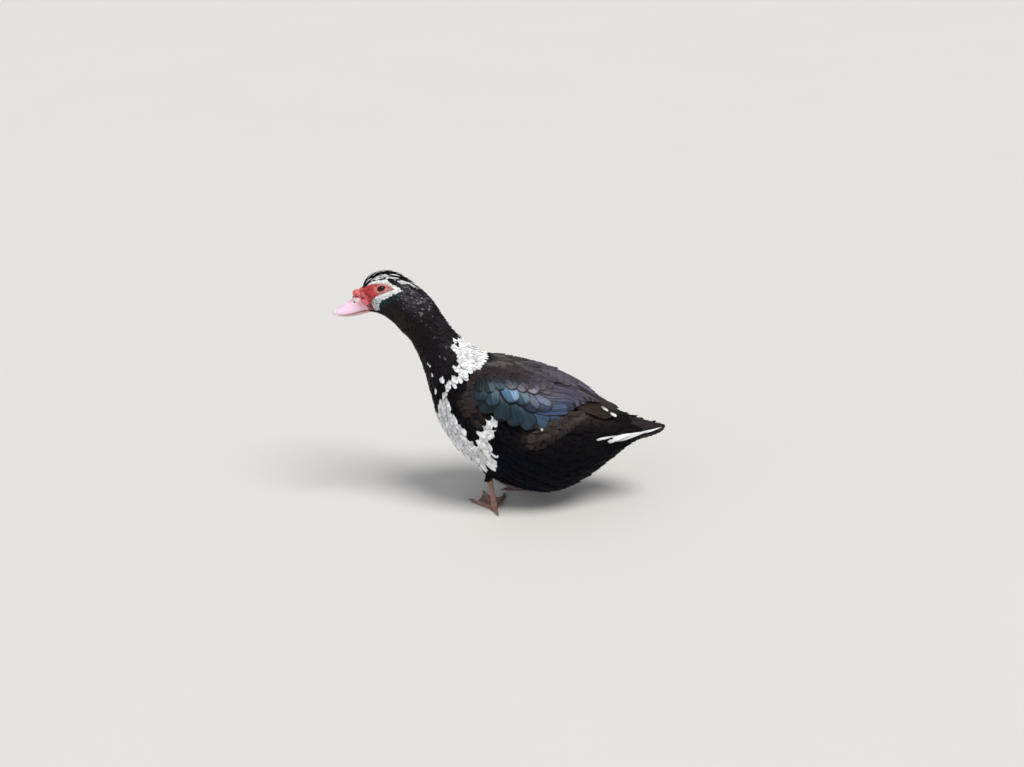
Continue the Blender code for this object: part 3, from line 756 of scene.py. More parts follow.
looks = {
    "smallFeather": plumageLook("smallFeather", {
        "metal": 0.0, "barbs": 9.0, "shaft": 0.10, "rim": 0.0, "rimColour": (0.02, 0.015, 0.014), "fray": 0.8,
        "rough": 0.52, "bump": 0.5, "specular": 0.10}),
    "bodyFeather": plumageLook("bodyFeather", {
        "metal": 0.0, "barbs": 18.0, "shaft": 0.15, "rim": 0.25, "rimColour": (0.012, 0.009, 0.009), "fray": 0.9,
        "rough": 0.50, "bump": 0.5, "specular": 0.03}),
    "backFeather": plumageLook("backFeather", {
        "metal": 0.05, "barbs": 30.0, "shaft": 0.2, "rim": 0.55, "rimColour": (0.060, 0.040, 0.034), "fray": 0.6,
        "rough": 0.42, "bump": 0.45, "specular": 0.22, "streaks": 0.45}),
    "panelFeather": plumageLook("panelFeather", {
        "metal": 0.30, "barbs": 46.0, "shaft": 0.08, "rim": 0.97, "rimColour": (0.0025, 0.0025, 0.0035), "fray": 0.35,
        "rough": 0.36, "bump": 0.35, "specular": 0.35, "streaks": 0.35}),
    "longFeather": plumageLook("longFeather", {
        "metal": 0.06, "barbs": 110.0, "shaft": 0.25, "rim": 0.85, "rimColour": (0.012, 0.007, 0.007), "fray": 0.5,
        "rough": 0.42, "bump": 0.4, "specular": 0.14, "streaks": 0.85}),
}
print("feather looks are ready")


def skinLook(name, values):
    look, tree, shader = newLook(name, {
        "Subsurface Weight": values["glow"], "Subsurface Scale": 0.002, "Coat Weight": values.get("coat", 0.0),
        "Coat Roughness": 0.25, "Specular IOR Level": values.get("specular", 0.5)})
    shader.inputs["Subsurface Radius"].default_value = (1.0, 0.3, 0.2)
    tint, chance = tintOf(tree)
    grain = useGroup(tree, "grain", {
        "Tint": tint, "Cells": values["cells"], "Crease shade": values["creaseShade"],
        "Patch colour": (*values["patch"], 1), "Patches": values["patches"]})
    tree.links.new(grain["Colour"], shader.inputs["Base Color"])
    tree.links.new(maths(tree, "ADD", grain["Rough"], values["rough"]), shader.inputs["Roughness"])
    bumped(tree, shader, grain["Height"], values["bump"], 0.0004)
    return look


looks["underSkin"] = skinLook("underSkin", {
    "glow": 0.0, "specular": 0.10, "cells": 500.0, "creaseShade": 0.3, "patch": (0.03, 0.022, 0.02), "patches": 0.2, "rough": 0.65, "bump": 0.4})
looks["faceSkin"] = skinLook("faceSkin", {
    "glow": 0.10, "coat": 0.18, "specular": 0.30, "cells": 1000.0, "creaseShade": 0.55, "patch": (0.80, 0.14, 0.14), "patches": 0.15,
    "rough": 0.40, "bump": 0.65})
looks["legSkin"] = skinLook("legSkin", {
    "glow": 0.06, "cells": 620.0, "creaseShade": 0.75, "patch": (0.16, 0.095, 0.070), "patches": 0.65, "rough": 0.46,
    "bump": 0.8})


# Bill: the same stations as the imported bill, in centimetres
bill = {
    "upper": [
        (-24.95, 33.86, -23.10, 32.06, 1.10, 0.20),
        (-26.00, 33.12, -24.36, 31.66, 1.12, 0.22),
        (-26.85, 32.56, -25.88, 31.34, 1.10, 0.22),
        (-27.38, 32.26, -26.90, 31.24, 1.00, 0.18),
        (-27.74, 32.08, -27.54, 31.24, 0.86, 0.10),
    ],
    "lower": [
        (-23.02, 32.10, -22.54, 31.66, 0.96, -0.20),
        (-24.30, 31.80, -24.10, 31.24, 0.97, -0.20),
        (-25.80, 31.50, -25.70, 31.00, 0.95, -0.20),
        (-27.00, 31.40, -26.95, 31.00, 0.78, -0.10),
        (-27.55, 31.34, -27.50, 31.12, 0.40, 0.00),
    ],
    "nail": [
        (-27.62, 32.12, -27.50, 31.22, 0.70, 0.10),
        (-28.02, 31.98, -27.92, 31.10, 0.66, 0.10),
        (-28.24, 31.72, -28.20, 31.16, 0.40, 0.00),
    ],
    "squareness": 0.62,
    "nostril": (0.10, 50.0),
    "nostrilLength": 0.0027,
    "nostrilHeight": 0.0013,
    "lilac": (0.93, 0.67, 0.87),
    "rootPink": (0.80, 0.40, 0.46),
    "edgePink": (0.86, 0.60, 0.68),
    "cream": (0.84, 0.74, 0.71),
    "nailCream": (0.86, 0.79, 0.76),
    "lowerPink": (0.70, 0.44, 0.44),
}


def billLook(name, values):
    look, tree, shader = newLook(name, {"Subsurface Weight": 0.10, "Subsurface Scale": 0.0015, "Coat Weight": 0.20,
                                        "Coat Roughness": 0.22})
    tint, chance = tintOf(tree)
    place = tree.nodes.new("ShaderNodeTexCoord").outputs["Object"]
    lines = noiseOf(tree, place, 900.0, 3.0, (0.25, 1.0, 1.0))
    mottle = noiseOf(tree, place, 240.0, 4.0)
    colour = blended(tree, ranged(tree, mottle, 0.45, 0.72, 0.0, 0.35), tint, (*values["spot"], 1))
    colour = blended(tree, ranged(tree, lines, 0.5, 0.75, 0.0, 0.25), colour, (*values["line"], 1))
    tree.links.new(colour, shader.inputs["Base Color"])
    tree.links.new(maths(tree, "ADD", maths(tree, "MULTIPLY", mottle, 0.2), values["rough"]), shader.inputs["Roughness"])
    bumped(tree, shader, lines, 0.25, 0.0003)
    return look


looks["bill"] = billLook("billHorn", {"spot": (0.80, 0.52, 0.66), "line": (0.92, 0.84, 0.88), "rough": 0.30})
looks["nail"] = billLook("nailHorn", {"spot": (0.76, 0.64, 0.56), "line": (0.88, 0.84, 0.80), "rough": 0.28})


# The skin: the body's surface sunk by the coat's depth, with the bare face, the eyelids, legs and feet
skin = {
    "faceRows": 150,
    "neckRows": 40,
    "bodyRows": 120,
    "columns": 216,
    "lumps": 300,
    "lumpSize": (0.0010, 0.0023),
    "knobCentre": (-0.2435 + 0.02, 0.0, 0.3468),
    "knobRadii": (0.0070, 0.0074, 0.0061),
    # t, turn, radius in millimetres and height as a share of it
    "bigLumps": [
        (0.98, 75, 5.6, 0.55), (0.86, 27, 3.8, 0.75), (1.22, 44, 4.2, 0.6), (1.32, 62, 4.0, 0.5), (1.60, 38, 3.2, 0.5),
        (1.72, 55, 3.4, 0.42), (1.18, 12, 3.8, 0.6), (0.72, 60, 2.4, 0.6), (1.95, 67, 3.0, 0.36), (1.50, 76, 3.0, 0.4),
        (1.95, 44, 2.4, 0.35), (1.40, 26, 2.8, 0.5),
    ],
    "lidThickness": 0.0007,
    "wingShare": 0.60,
}


def dome(points, t, turn, radius, share):
    # a half ball pressed flat, standing on this place of the body
    centre = bodySheet(np.array([float(t)]), np.array([float(turn)]), np.zeros(1))[0]
    away = np.linalg.norm(points - centre, axis=1) / radius
    return share * radius * np.sqrt(np.clip(1 - away ** 2, 0, 1))


def caruncles(points):
    # the highest of many round domes, bigger towards the bill
    chance = np.random.default_rng(21)
    low, high = skin["lumpSize"]
    small, large = np.zeros(len(points)), np.zeros(len(points))
    for t, turn, radius, share in skin["bigLumps"]:
        for side in (1, -1):
            large = np.maximum(large, dome(points, t, side * turn + chance.normal(0, 1.0), radius * 0.001, share))
    made = 0
    while made < skin["lumps"]:
        t, turn = chance.uniform(0.0, 3.2), chance.uniform(-118, 118)
        if not within(markings["redArea"], np.array(t), np.array(abs(turn))):
            continue
        made += 1
        small = np.maximum(small, dome(points, t, turn, chance.uniform(low, high) * (1.45 - 0.30 * t), 0.55))
    return 0.88 * large + 0.95 * small


def knobLift(points, normals):
    # how far along its normal each point is from the far side of an ellipsoid
    radii = np.array(skin["knobRadii"])
    away = (points - skin["knobCentre"]) / radii
    ahead = normals / radii
    a = np.einsum("ij,ij->i", ahead, ahead)
    b = np.einsum("ij,ij->i", away, ahead)
    room = b ** 2 - a * (np.einsum("ij,ij->i", away, away) - 1)
    far = (-b + np.sqrt(np.clip(room, 0, None))) / a
    return np.where(room > 0, np.clip(far, 0, 0.02), 0.0) * step(0, 0.12, room / a ** 1.0 * 1e6 / 36)


def eyelids(points, side):
    # inside the opening the skin dives behind the eyeball, and round it the lids follow the ball outside
    centre, out, back, up = eyeFrames[side]
    a, b, height = fromEye(points, side)
    narrow = 1 - 0.25 * np.clip(np.abs(a) / eyes["openingAlong"], 0, 1) ** 2
    r = np.sqrt((a / eyes["openingAlong"]) ** 2 + (b / (eyes["openingUp"] * narrow)) ** 2)
    far = (a ** 2 + b ** 2) < 0.02 ** 2
    lidBall = np.sqrt(np.clip((eyes["radius"] + skin["lidThickness"]) ** 2 - a ** 2 - b ** 2, 0, None))
    rim = 0.00025 * np.exp(-((r - 1.12) / 0.10) ** 2)
    fold = -0.0005 * np.exp(-((r - 1.75) / 0.16) ** 2)
    lids = np.maximum(lidBall, eyes["inset"] - 0.0003) + rim + fold
    hidden = np.sqrt(np.clip((eyes["radius"] - 0.0014) ** 2 - a ** 2 - b ** 2, 0, None))
    target = np.where(r < 1.0, hidden, lids)
    weight = step(2.5, 1.45, r) * far * (height > -0.002)
    return points + out * ((target - height) * weight)[:, None], np.where(far & (height > -0.002), r, 9.0)


def bodySkin():
    rows = np.concatenate([
        np.linspace(0.0, 3.2, skin["faceRows"]),
        np.linspace(3.2, 4.8, skin["neckRows"])[1:],
        np.linspace(4.8, 17.7, skin["bodyRows"])[1:],
    ])
    fine = np.linspace(-180, 180, 1441)
    weight = 1 + 2.2 * step(24, 36, np.abs(fine)) * step(104, 88, np.abs(fine))
    walked = np.concatenate([[0], np.cumsum((weight[1:] + weight[:-1]) / 2)])
    columns = skin["columns"]
    turns = np.interp(np.arange(columns) * walked[-1] / columns, walked, fine)
    t, turn = (grid.ravel() for grid in np.meshgrid(rows, turns, indexing="ij"))
    plain = bodySheet(t, turn, np.zeros(len(t)))
    bare = soft(markings["redArea"], t, np.abs(turn), 0.08, 2.5)
    horn = soft(markings["hornArea"], t, np.abs(turn), 0.03, 1.2)
    lift = -coatDepth(t) * (1 - bare) + 0.0003 * bare
    face = t < 3.6
    lumps = np.zeros(len(t))
    lumps[face] = caruncles(plain[face])
    nearEye = np.minimum(*(np.linalg.norm(plain - eyeFrames[side][0], axis=1) for side in (1, -1)))
    lift += lumps * bare * (1 - horn) * (0.25 + 0.75 * step(0.0075, 0.0125, nearEye))
    knob = np.zeros(len(t))
    normals = bodySheet(t[face], turn[face], np.ones(face.sum())) - plain[face]
    knob[face] = knobLift(plain[face], normals) * (1 + 0.09 * ripple(plain[face], 0.007, 17))
    lift = np.where(knob > 0, np.maximum(lift, knob + 0.35 * lumps), lift)
    along, across = wingSpot(t, turn)
    onWing = step(0.05, 0.20, across) * step(0.95, 0.80, across) * step(0.03, 0.15, along) * step(0.9, 0.6, along)
    lift += skin["wingShare"] * wingRise(np.clip(along, 0, 1), np.clip(across, 0, 1)) * onWing
    points = bodySheet(t, turn, lift)
    rim = np.full(len(t), 9.0)
    for side in (1, -1):
        points, r = eyelids(points, side)
        rim = np.minimum(rim, r)
    colour = coatColour(t, turn, plain)
    aside = np.abs(turn)
    # deeper red on the skin between the lumps: partly its own colour, partly painted shade in the hollows
    colour = mixTo(colour, markings["deepRed"], bare * step(0.0010, 0.0, lumps) * step(2.2, 1.6, t))
    colour = mixTo(colour, markings["palePink"], bare * step(2.05, 2.65, t) * (0.50 + 0.35 * ripple(plain, 0.006, 31)))
    # the lobes' own pinker red, with a painted highlight on the tops of the lumps
    lumpTopHighlight = bare * step(0.0006, 0.0016, lumps) * step(1.7, 1.1, t)
    colour = mixTo(colour, markings["lobeHighlightPink"], lumpTopHighlight * 0.85)
    colour = mixTo(colour, markings["knobPink"], np.clip(knob / 0.004, 0, 1) * 0.8)
    colour = mixTo(colour, markings["deepRed"], bare * np.exp(-((t - 2.95) / 0.16) ** 2 - ((aside - 53) / 3.2) ** 2) * 0.9)
    colour = mixTo(colour, markings["deepRed"], np.exp(-((t - 2.40) / 0.34) ** 2 - ((aside - 44.5) / 2.6) ** 2) * 0.75)
    colour = mixTo(colour, markings["lidPink"], step(2.3, 1.7, rim) * step(1.1, 1.3, rim) * 0.6)
    colour = mixTo(colour, (0.16, 0.035, 0.030), step(1.30, 1.12, rim))
    # near-black where the skin turns in behind the eyeball: painted shade in the gap round the eye
    colour = mixTo(colour, (0.010, 0.004, 0.004), step(1.10, 0.98, rim))
    cornerRed = bare * step(84, 92, aside) * (1 - horn)
    colour = mixTo(colour, (0.30, 0.090, 0.075), cornerRed * 0.95)
    # near-black at the corner of the mouth: painted shade in the corner
    mouth = np.exp(-((t - 1.20) / 0.13) ** 2 - ((aside - 100) / 6.0) ** 2)
    colour = mixTo(colour, (0.02, 0.008, 0.008), np.clip(mouth * 1.3, 0, 1))
    shield = mixTo(np.zeros(colour.shape) + bill["rootPink"], bill["cream"], step(70, 40, aside))
    colour = mixTo(colour, shield, horn)
    count = len(rows)
    k, j = np.meshgrid(np.arange(count - 1), np.arange(columns), indexing="ij")
    after = (j + 1) % columns
    quads = np.stack([k * columns + j, (k + 1) * columns + j, (k + 1) * columns + after, k * columns + after], -1)
    u = np.concatenate([rows, [rows[-1]]]) / 18.0 * 0.80 + 0.02
    v = np.concatenate([turns, [180.0]]) / 372.0 + 0.5
    uv = np.stack([
        np.stack([u[k], v[j]], -1), np.stack([u[k + 1], v[j]], -1),
        np.stack([u[k + 1], v[j + 1]], -1), np.stack([u[k], v[j + 1]], -1)], 2)
    ends, endUv = [], []
    for ring, spot in ((np.arange(columns), 0.86), (np.arange(columns * count - 1, columns * (count - 1) - 1, -1), 0.90)):
        circle = np.radians(turns[ring % columns])
        ends.append(ring)
        endUv.append(np.stack([spot + 0.015 * np.cos(circle), 0.95 + 0.03 * np.sin(circle)], -1))
    onFace = (rows[k] < 3.5) & (bare.reshape(count, columns)[k, j] > 0.45)
    onHorn = (rows[k] < 1.2) & (horn.reshape(count, columns)[k, j] > 0.5)
    kinds = np.concatenate([np.where(onHorn, 3, np.where(onFace, 1, 0)).ravel(), [1, 0]])
    loops = np.concatenate([quads.ravel(), *ends])
    counts = np.concatenate([np.full(quads.shape[0] * quads.shape[1], 4), [columns, columns]])
    return points, loops, counts, np.concatenate([uv.reshape(-1, 2), *endUv]), colour, kinds


leg = {
    # foot joint x and y, heading of the middle toe from -X towards +Y, ankle, top of the feathered leg (centimetres)
    "left": ((-3.3, -4.7), 74.0, (-4.05, -4.35, 5.30), (-2.9, -4.6, 9.4)),
    "right": ((3.3, 3.4), 26.0, (3.45, 3.85, 2.45), (3.6, 4.5, 7.0)),
    "toes": (0.056, 0.066, 0.048),
    "toeSpread": 32.0,
    "toeHalfWidth": 0.0038,
    "palmHeight": 0.0085,
    "web": 0.0015,
    "pink": (0.36, 0.205, 0.165),
    "webPink": (0.30, 0.185, 0.135),
    "claw": (0.10, 0.075, 0.060),
    "clawLength": 0.0085,
    "clawRadius": 0.0022,
}


def gridFaces(rows, columns):
    # quads of the top and the bottom grid of a closed flat shape, and of the wall between them
    k, j = np.meshgrid(np.arange(rows - 1), np.arange(columns - 1), indexing="ij")
    a = k * columns + j
    top = np.stack([a, a + columns, a + columns + 1, a + 1], -1).reshape(-1, 4)
    size = rows * columns
    bottom = top[:, ::-1] + size
    edge = np.concatenate([
        np.arange(columns - 1), np.arange(rows - 1) * columns + columns - 1,
        (rows - 1) * columns + np.arange(columns - 1, 0, -1), np.arange(rows - 1, 0, -1) * columns])
    after = np.roll(edge, -1)
    wall = np.stack([edge, after, after + size, edge + size], -1)
    return np.concatenate([top, bottom, wall])


def footPoints(name):
    # in polar form about the joint: toes are ridges whose height falls to their sides, webs are thin between them
    (jointX, jointY), heading = leg[name][:2]
    angles = np.radians([-leg["toeSpread"], 0.0, leg["toeSpread"]])
    lengths = np.array(leg["toes"])
    shares = np.linspace(-1, 1, 9)
    between = np.arange(1, 11) / 11
    number = np.concatenate([np.zeros(9), between, np.ones(9), 1 + between, np.full(9, 2.0)])
    share = np.concatenate([shares, np.full(10, np.nan), shares, np.full(10, np.nan), shares])
    isToe = ~np.isnan(share)
    share = np.nan_to_num(share)
    toe = number.astype(int)
    f = number - toe
    v = np.linspace(0, 1, 30)[:, None]
    dome = np.sqrt(1 - 0.98 * share ** 2)
    reachToe = lengths[toe] - 0.0035 * (1 - dome)
    webLength = np.interp(number, [0, 1, 2], lengths)
    reachWeb = webLength * (0.82 + 0.12 * np.abs(2 * f - 1) ** 2.5) + 0.0006 * np.sin(number * 37.0)
    r = 0.009 + (np.where(isToe, reachToe, reachWeb) - 0.009) * v
    width = leg["toeHalfWidth"] * (1 - 0.30 * v)
    offset = np.minimum(width / r, 0.235)
    turnToe = angles[toe] + share * offset
    turnWeb = (angles[toe] + offset) * (1 - f) + (angles[np.minimum(toe + 1, 2)] - offset) * f
    turn = np.where(isToe, turnToe, turnWeb)
    joints = 1 + 0.16 * np.cos(v * 6 * np.pi)
    scutes = 0.00016 * np.abs(np.sin(r * np.pi / 0.0021)) * dome
    ridge = (0.0078 - 0.0036 * v) * joints * dome + scutes
    web = leg["web"] * (1.0 - 0.35 * v) + 0.00025 * np.sin(f * np.pi * 5 + v * 3) * np.sin(f * np.pi) ** 2
    sag = web + 0.0022 * np.exp(-np.minimum(f, 1 - f) * 9) * (1 - v)
    height = np.where(isToe, np.maximum(ridge, web), sag)
    palm = np.clip(1 - v / 0.26, 0, 1) ** 1.2 * leg["palmHeight"] * 0.92
    height = np.maximum(height, palm)
    height[-1] = 0.0008
    front = np.stack([r * np.cos(turn), r * np.sin(turn), height], -1)
    k = np.linspace(-1, 1, len(number))
    heel = []
    for back, half, tall in ((-0.0054, 0.0014, 0.35), (-0.0047, 0.0030, 0.68), (-0.0030, 0.0045, 0.88),
                             (-0.0004, 0.0055, 1.0), (0.0030, 0.0060, 1.0)):
        heel.append(np.stack([np.full(len(k), back), half * k, leg["palmHeight"] * tall * (1 - 0.55 * k ** 4)], -1))
    top = np.concatenate([np.stack(heel), front])
    top[:, [0, -1], 2] = np.minimum(top[:, [0, -1], 2], 0.0012)
    swing = np.radians(180 - heading)
    x = top[..., 0] * np.cos(swing) - top[..., 1] * np.sin(swing) + jointX * 0.01 + body["shift"]
    y = top[..., 0] * np.sin(swing) + top[..., 1] * np.cos(swing) + jointY * 0.01
    top = np.stack([x, y, top[..., 2]], -1)
    isWeb = np.broadcast_to(~isToe, top.shape[:2])
    return top, isWeb, swing + angles


def tubeRings(path, radii, sides, swell=None):
    # rings across the path's direction, each side's radius times its swell
    ahead = np.gradient(path, axis=0)
    ahead /= sizeOf(ahead)
    helper = np.where(np.abs(ahead[:, 2:]) > 0.7, (1.0, 0.0, 0.0), (0.0, 0.0, 1.0))
    sideways = np.cross(helper, ahead)
    sideways /= sizeOf(sideways)
    upwards = np.cross(ahead, sideways)
    turn = np.linspace(0, 2 * np.pi, sides, endpoint=False)
    circle = sideways[:, None] * np.cos(turn)[:, None] + upwards[:, None] * np.sin(turn)[:, None]
    radii = np.asarray(radii)[:, None] * (np.ones((len(path), sides)) if swell is None else swell)
    return path[:, None] + circle * radii[..., None]


def tubePart(rings, colour, kind, uvBox):
    # a closed tube as a part of the skin, unwrapped into the box (u, v, width, height)
    count, sides = rings.shape[:2]
    loops, counts = ringFaces(count, sides)
    points = rings.reshape(-1, 3)
    loops = outward(points, loops, counts)
    row, column = loops // sides, loops % sides
    u, v, width, height = uvBox
    uv = np.stack([u + width * row / (count - 1), v + height * np.abs(2 * column / sides - 1)], -1)
    return points, loops, counts, uv, np.broadcast_to(colour, points.shape), np.full(len(counts), kind)


def legPath(name):
    # joint on the foot, ankle and the top of the leg, in metres
    (jointX, jointY), heading, ankle, top = leg[name]
    shift = np.array([body["shift"], 0, 0])
    low = np.array([jointX * 0.01, jointY * 0.01, leg["palmHeight"] - 0.002]) + shift
    return low, np.array(ankle) * 0.01 + shift, np.array(top) * 0.01 + shift


def legParts(name, spot):
    found = []
    top, isWeb, swings = footPoints(name)
    rows, columns = top.shape[:2]
    bottom = top * (1, 1, 0)
    points = np.concatenate([top.reshape(-1, 3), bottom.reshape(-1, 3)])
    faces = gridFaces(rows, columns)
    loops, counts = faces.ravel(), np.full(len(faces), 4)
    loops = outward(points, loops, counts)
    near = (points[:, :2] - points[:, :2].mean(0))
    uv = near[loops] * 1.0 + (0.90, spot + 0.14)
    colour = np.where(isWeb[..., None], leg["webPink"], leg["pink"]).reshape(-1, 3)
    colour = np.concatenate([colour, colour])
    found.append((points, loops, counts, uv, colour, np.full(len(counts), 2)))

    low, ankle, high = legPath(name)
    share = np.linspace(0, 1, 44)
    path = low + (ankle - low) * share[:, None] * 1.02
    radii = np.interp(share, [0, 0.12, 0.3, 0.75, 0.9, 1], [46, 44, 37, 39, 52, 46]) * 1e-4
    turn = np.linspace(0, 2 * np.pi, 28, endpoint=False)
    length = np.linalg.norm(ankle - low)
    scutes = 0.020 * np.abs(np.sin(share * length * np.pi / 0.0026))[:, None] * (0.6 + 0.4 * np.cos(turn))
    squeeze = 1 - 0.12 * np.cos(2 * turn)
    found.append(tubePart(tubeRings(path, radii, 28, (1 + scutes) * squeeze), leg["pink"], 2, (0.84, spot + 0.20, 0.05, 0.08)))

    upwards = (ankle - low) / length
    knee = ankle + upwards * 0.004
    path = np.concatenate([(ankle - upwards * 0.002)[None], knee + (high - knee) * np.linspace(0, 1, 8)[:, None]])
    radii = np.interp(np.linspace(0, 1, 9), [0, 0.2, 0.4, 0.6, 0.8, 1], [48, 58, 90, 130, 165, 190]) * 1e-4
    found.append(tubePart(tubeRings(path, radii, 20), markings["bodyBlack"], 0, (0.92, spot + 0.20, 0.05, 0.08)))

    behind = np.array([-np.cos(swings[1]), -np.sin(swings[1]), 0])
    base = np.array([low[0], low[1], 0]) + behind * 0.003
    share = np.linspace(0, 1, 14)
    path = base + behind * (share * 0.0155)[:, None]
    path[:, 2] += np.interp(share, [0, 0.4, 1], [0.0052, 0.0046, 0.0032])
    radii = np.interp(share, [0, 0.5, 0.9, 1], [29, 27, 21, 17]) * 1e-4
    found.append(tubePart(tubeRings(path, radii, 16), leg["pink"], 2, (0.84, spot + 0.02, 0.04, 0.04)))
    return found


def buildSkin():
    parts = [bodySkin()]
    for name, spot in (("left", 0.02), ("right", 0.42)):
        parts += legParts(name, spot)
    offsets = np.cumsum([0] + [len(part[0]) for part in parts])
    points = np.concatenate([part[0] for part in parts])
    first = parts[0]
    parts[0] = (first[0], outward(first[0], first[1], first[2]), *first[2:])
    turned = parts[0][1] is not first[1]
    loops = np.concatenate([part[1] + offset for part, offset in zip(parts, offsets)])
    counts = np.concatenate([part[2] for part in parts])
    uvs = [part[3] for part in parts]
    if turned:
        starts = np.concatenate([[0], np.cumsum(first[2])[:-1]])
        owner = np.repeat(np.arange(len(first[2])), first[2])
        place = np.arange(len(first[1])) - starts[owner]
        uvs[0] = first[3][starts[owner] + (first[2][owner] - 1 - place)]
    piece = addPiece("skin", points, loops, counts, [looks["underSkin"], looks["faceSkin"], looks["legSkin"], looks["bill"]])
    piece.data.polygons.foreach_set("material_index", np.concatenate([part[5] for part in parts]).astype(np.int32))
    addMap(piece, "OFBake", np.clip(np.concatenate(uvs), 0, 1))
    tint = np.concatenate([part[4] for part in parts])
    addColours(piece, "tint", np.concatenate([tint, np.full((len(tint), 1), 0.5)], 1))
    piece.data.set_sharp_from_angle(angle=np.radians(60))
    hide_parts(*skinNodes)
    return piece


skinNodes = ["head", "neck_upper", "neck_lower", "breast", "trunk", "rump", "caruncle_left", "caruncle_right",
             "caruncle_knob"]
skinNodes += [part + "_" + side for part in ("thigh", "shank", "foot", "hallux") for side in ("left", "right")]
print("skin")
buildSkin()


def buildBillPiece(name, sheet, first, last, count, sides, shape, look, node):
    # rings of the bill's own stations, moved along their normals by shape(s, turn, points)
    s, turn = np.meshgrid(np.linspace(first, last, count), np.linspace(-180, 180, sides, endpoint=False), indexing="ij")
    lift, colour = shape(s, turn, sheet(s, turn, np.zeros(s.shape)))
    # the stations run forwards here, so that the normal points inwards
    flat = sheet(s, turn, -lift).reshape(-1, 3)
    loops, counts = ringFaces(count, sides)
    loops = outward(flat, loops, counts)
    piece = addPiece(name, flat, loops, counts, [look])
    row, column = loops // sides, loops % sides
    addMap(piece, "OFBake", np.stack([0.03 + 0.94 * row / (count - 1), 0.03 + 0.94 * np.abs(2 * column / sides - 1)], -1))
    addColours(piece, "tint", np.concatenate([colour, np.full(colour.shape[:2] + (1,), 0.5)], -1))
    piece.data.set_sharp_from_angle(angle=np.radians(70))
    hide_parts(node)


upperBill = lofted(bill["upper"], 1.0, bill["squareness"])
lowerBill = lofted(bill["lower"], bill["squareness"], 0.85)
billNail = lofted(bill["nail"])


def upperShape(s, turn, points):
    m = bill
    lift = 0.00025 * np.exp(-((np.abs(turn) - 112) / 7.0) ** 2)
    colour = np.zeros(s.shape + (3,)) + m["lilac"]
    colour = mixTo(colour, m["rootPink"], step(1.0, -0.1, s) * 0.75)
    colour = mixTo(colour, m["edgePink"], step(84, 112, np.abs(turn)))
    colour = mixTo(colour, m["cream"], step(2.9, 3.9, s) * 0.8)
    for side in (1, -1):
        centre = upperBill(np.array([m["nostril"][0]]), np.array([side * m["nostril"][1]]), np.zeros(1))[0]
        forward = upperBill(np.array([m["nostril"][0] + 0.05]), np.array([side * m["nostril"][1]]), np.zeros(1))[0] - centre
        forward /= np.linalg.norm(forward)
        away = points - centre
        a = away @ forward
        b = np.sqrt(np.clip(np.einsum("ijk,ijk->ij", away, away) - a ** 2, 0, None))
        r = np.sqrt((a / m["nostrilLength"]) ** 2 + (b / m["nostrilHeight"]) ** 2)
        near = np.sqrt(np.einsum("ijk,ijk->ij", away, away)) < 0.008
        lift = lift + near * (0.00045 * np.exp(-((r - 1.35) / 0.35) ** 2) - 0.0016 * step(1.1, 0.55, r))
        colour = mixTo(colour, m["cream"], near * step(2.6, 1.5, r))
        # near-black in the nostril's dent: painted shade in the hole
        colour = mixTo(colour, (0.02, 0.010, 0.010), near * step(1.12, 0.88, r))
    return lift, colour


def lowerShape(s, turn, points):
    lift = 0.0001 * np.cos(np.radians(turn) * 2)
    colour = np.zeros(s.shape + (3,)) + bill["lowerPink"]
    return lift, mixTo(colour, bill["edgePink"], step(1.0, 3.5, s))


def nailShape(s, turn, points):
    lift = 0.00015 * np.exp(-(turn / 25) ** 2)
    colour = np.zeros(s.shape + (3,)) + bill["nailCream"]
    return lift, mixTo(colour, bill["edgePink"], step(0.8, -0.4, s) * 0.6)


print("bill")
buildBillPiece("billUpper", upperBill, -0.30, 4.0, 96, 96, upperShape, looks["bill"], "bill_upper")
buildBillPiece("billLower", lowerBill, -0.35, 4.0, 60, 64, lowerShape, looks["bill"], "bill_lower")
buildBillPiece("billNail", billNail, -0.55, 2.0, 34, 48, nailShape, looks["nail"], "bill_nail")


# Eyes
def eyeLook():
    look, tree, shader = newLook("eyeball", {"Coat Weight": 0.40, "Coat Roughness": 0.02, "Roughness": 0.4,
                                             "Specular IOR Level": 0.05})
    uv = tree.nodes.new("ShaderNodeUVMap")
    uv.uv_map = "globe"
    parts = tree.nodes.new("ShaderNodeSeparateXYZ")
    tree.links.new(uv.outputs[0], parts.inputs[0])
    place = tree.nodes.new("ShaderNodeTexCoord").outputs["Object"]
    rays = noiseOf(tree, uv.outputs[0], 30.0, 3.0, (0.6, 6.0, 1.0))
    iris = blended(tree, rays, (0.075, 0.026, 0.012, 1), (0.024, 0.010, 0.006, 1))
    iris = blended(tree, ranged(tree, parts.outputs[0], 0.20, 0.28), iris, (0.004, 0.003, 0.003, 1))
    colour = blended(tree, ranged(tree, parts.outputs[0], 0.118, 0.130), (0.002, 0.002, 0.002, 1), iris)
    tree.links.new(colour, shader.inputs["Base Color"])
    bumped(tree, shader, noiseOf(tree, place, 300.0), 0.05, 0.0002)
    return look


looks["eye"] = eyeLook()


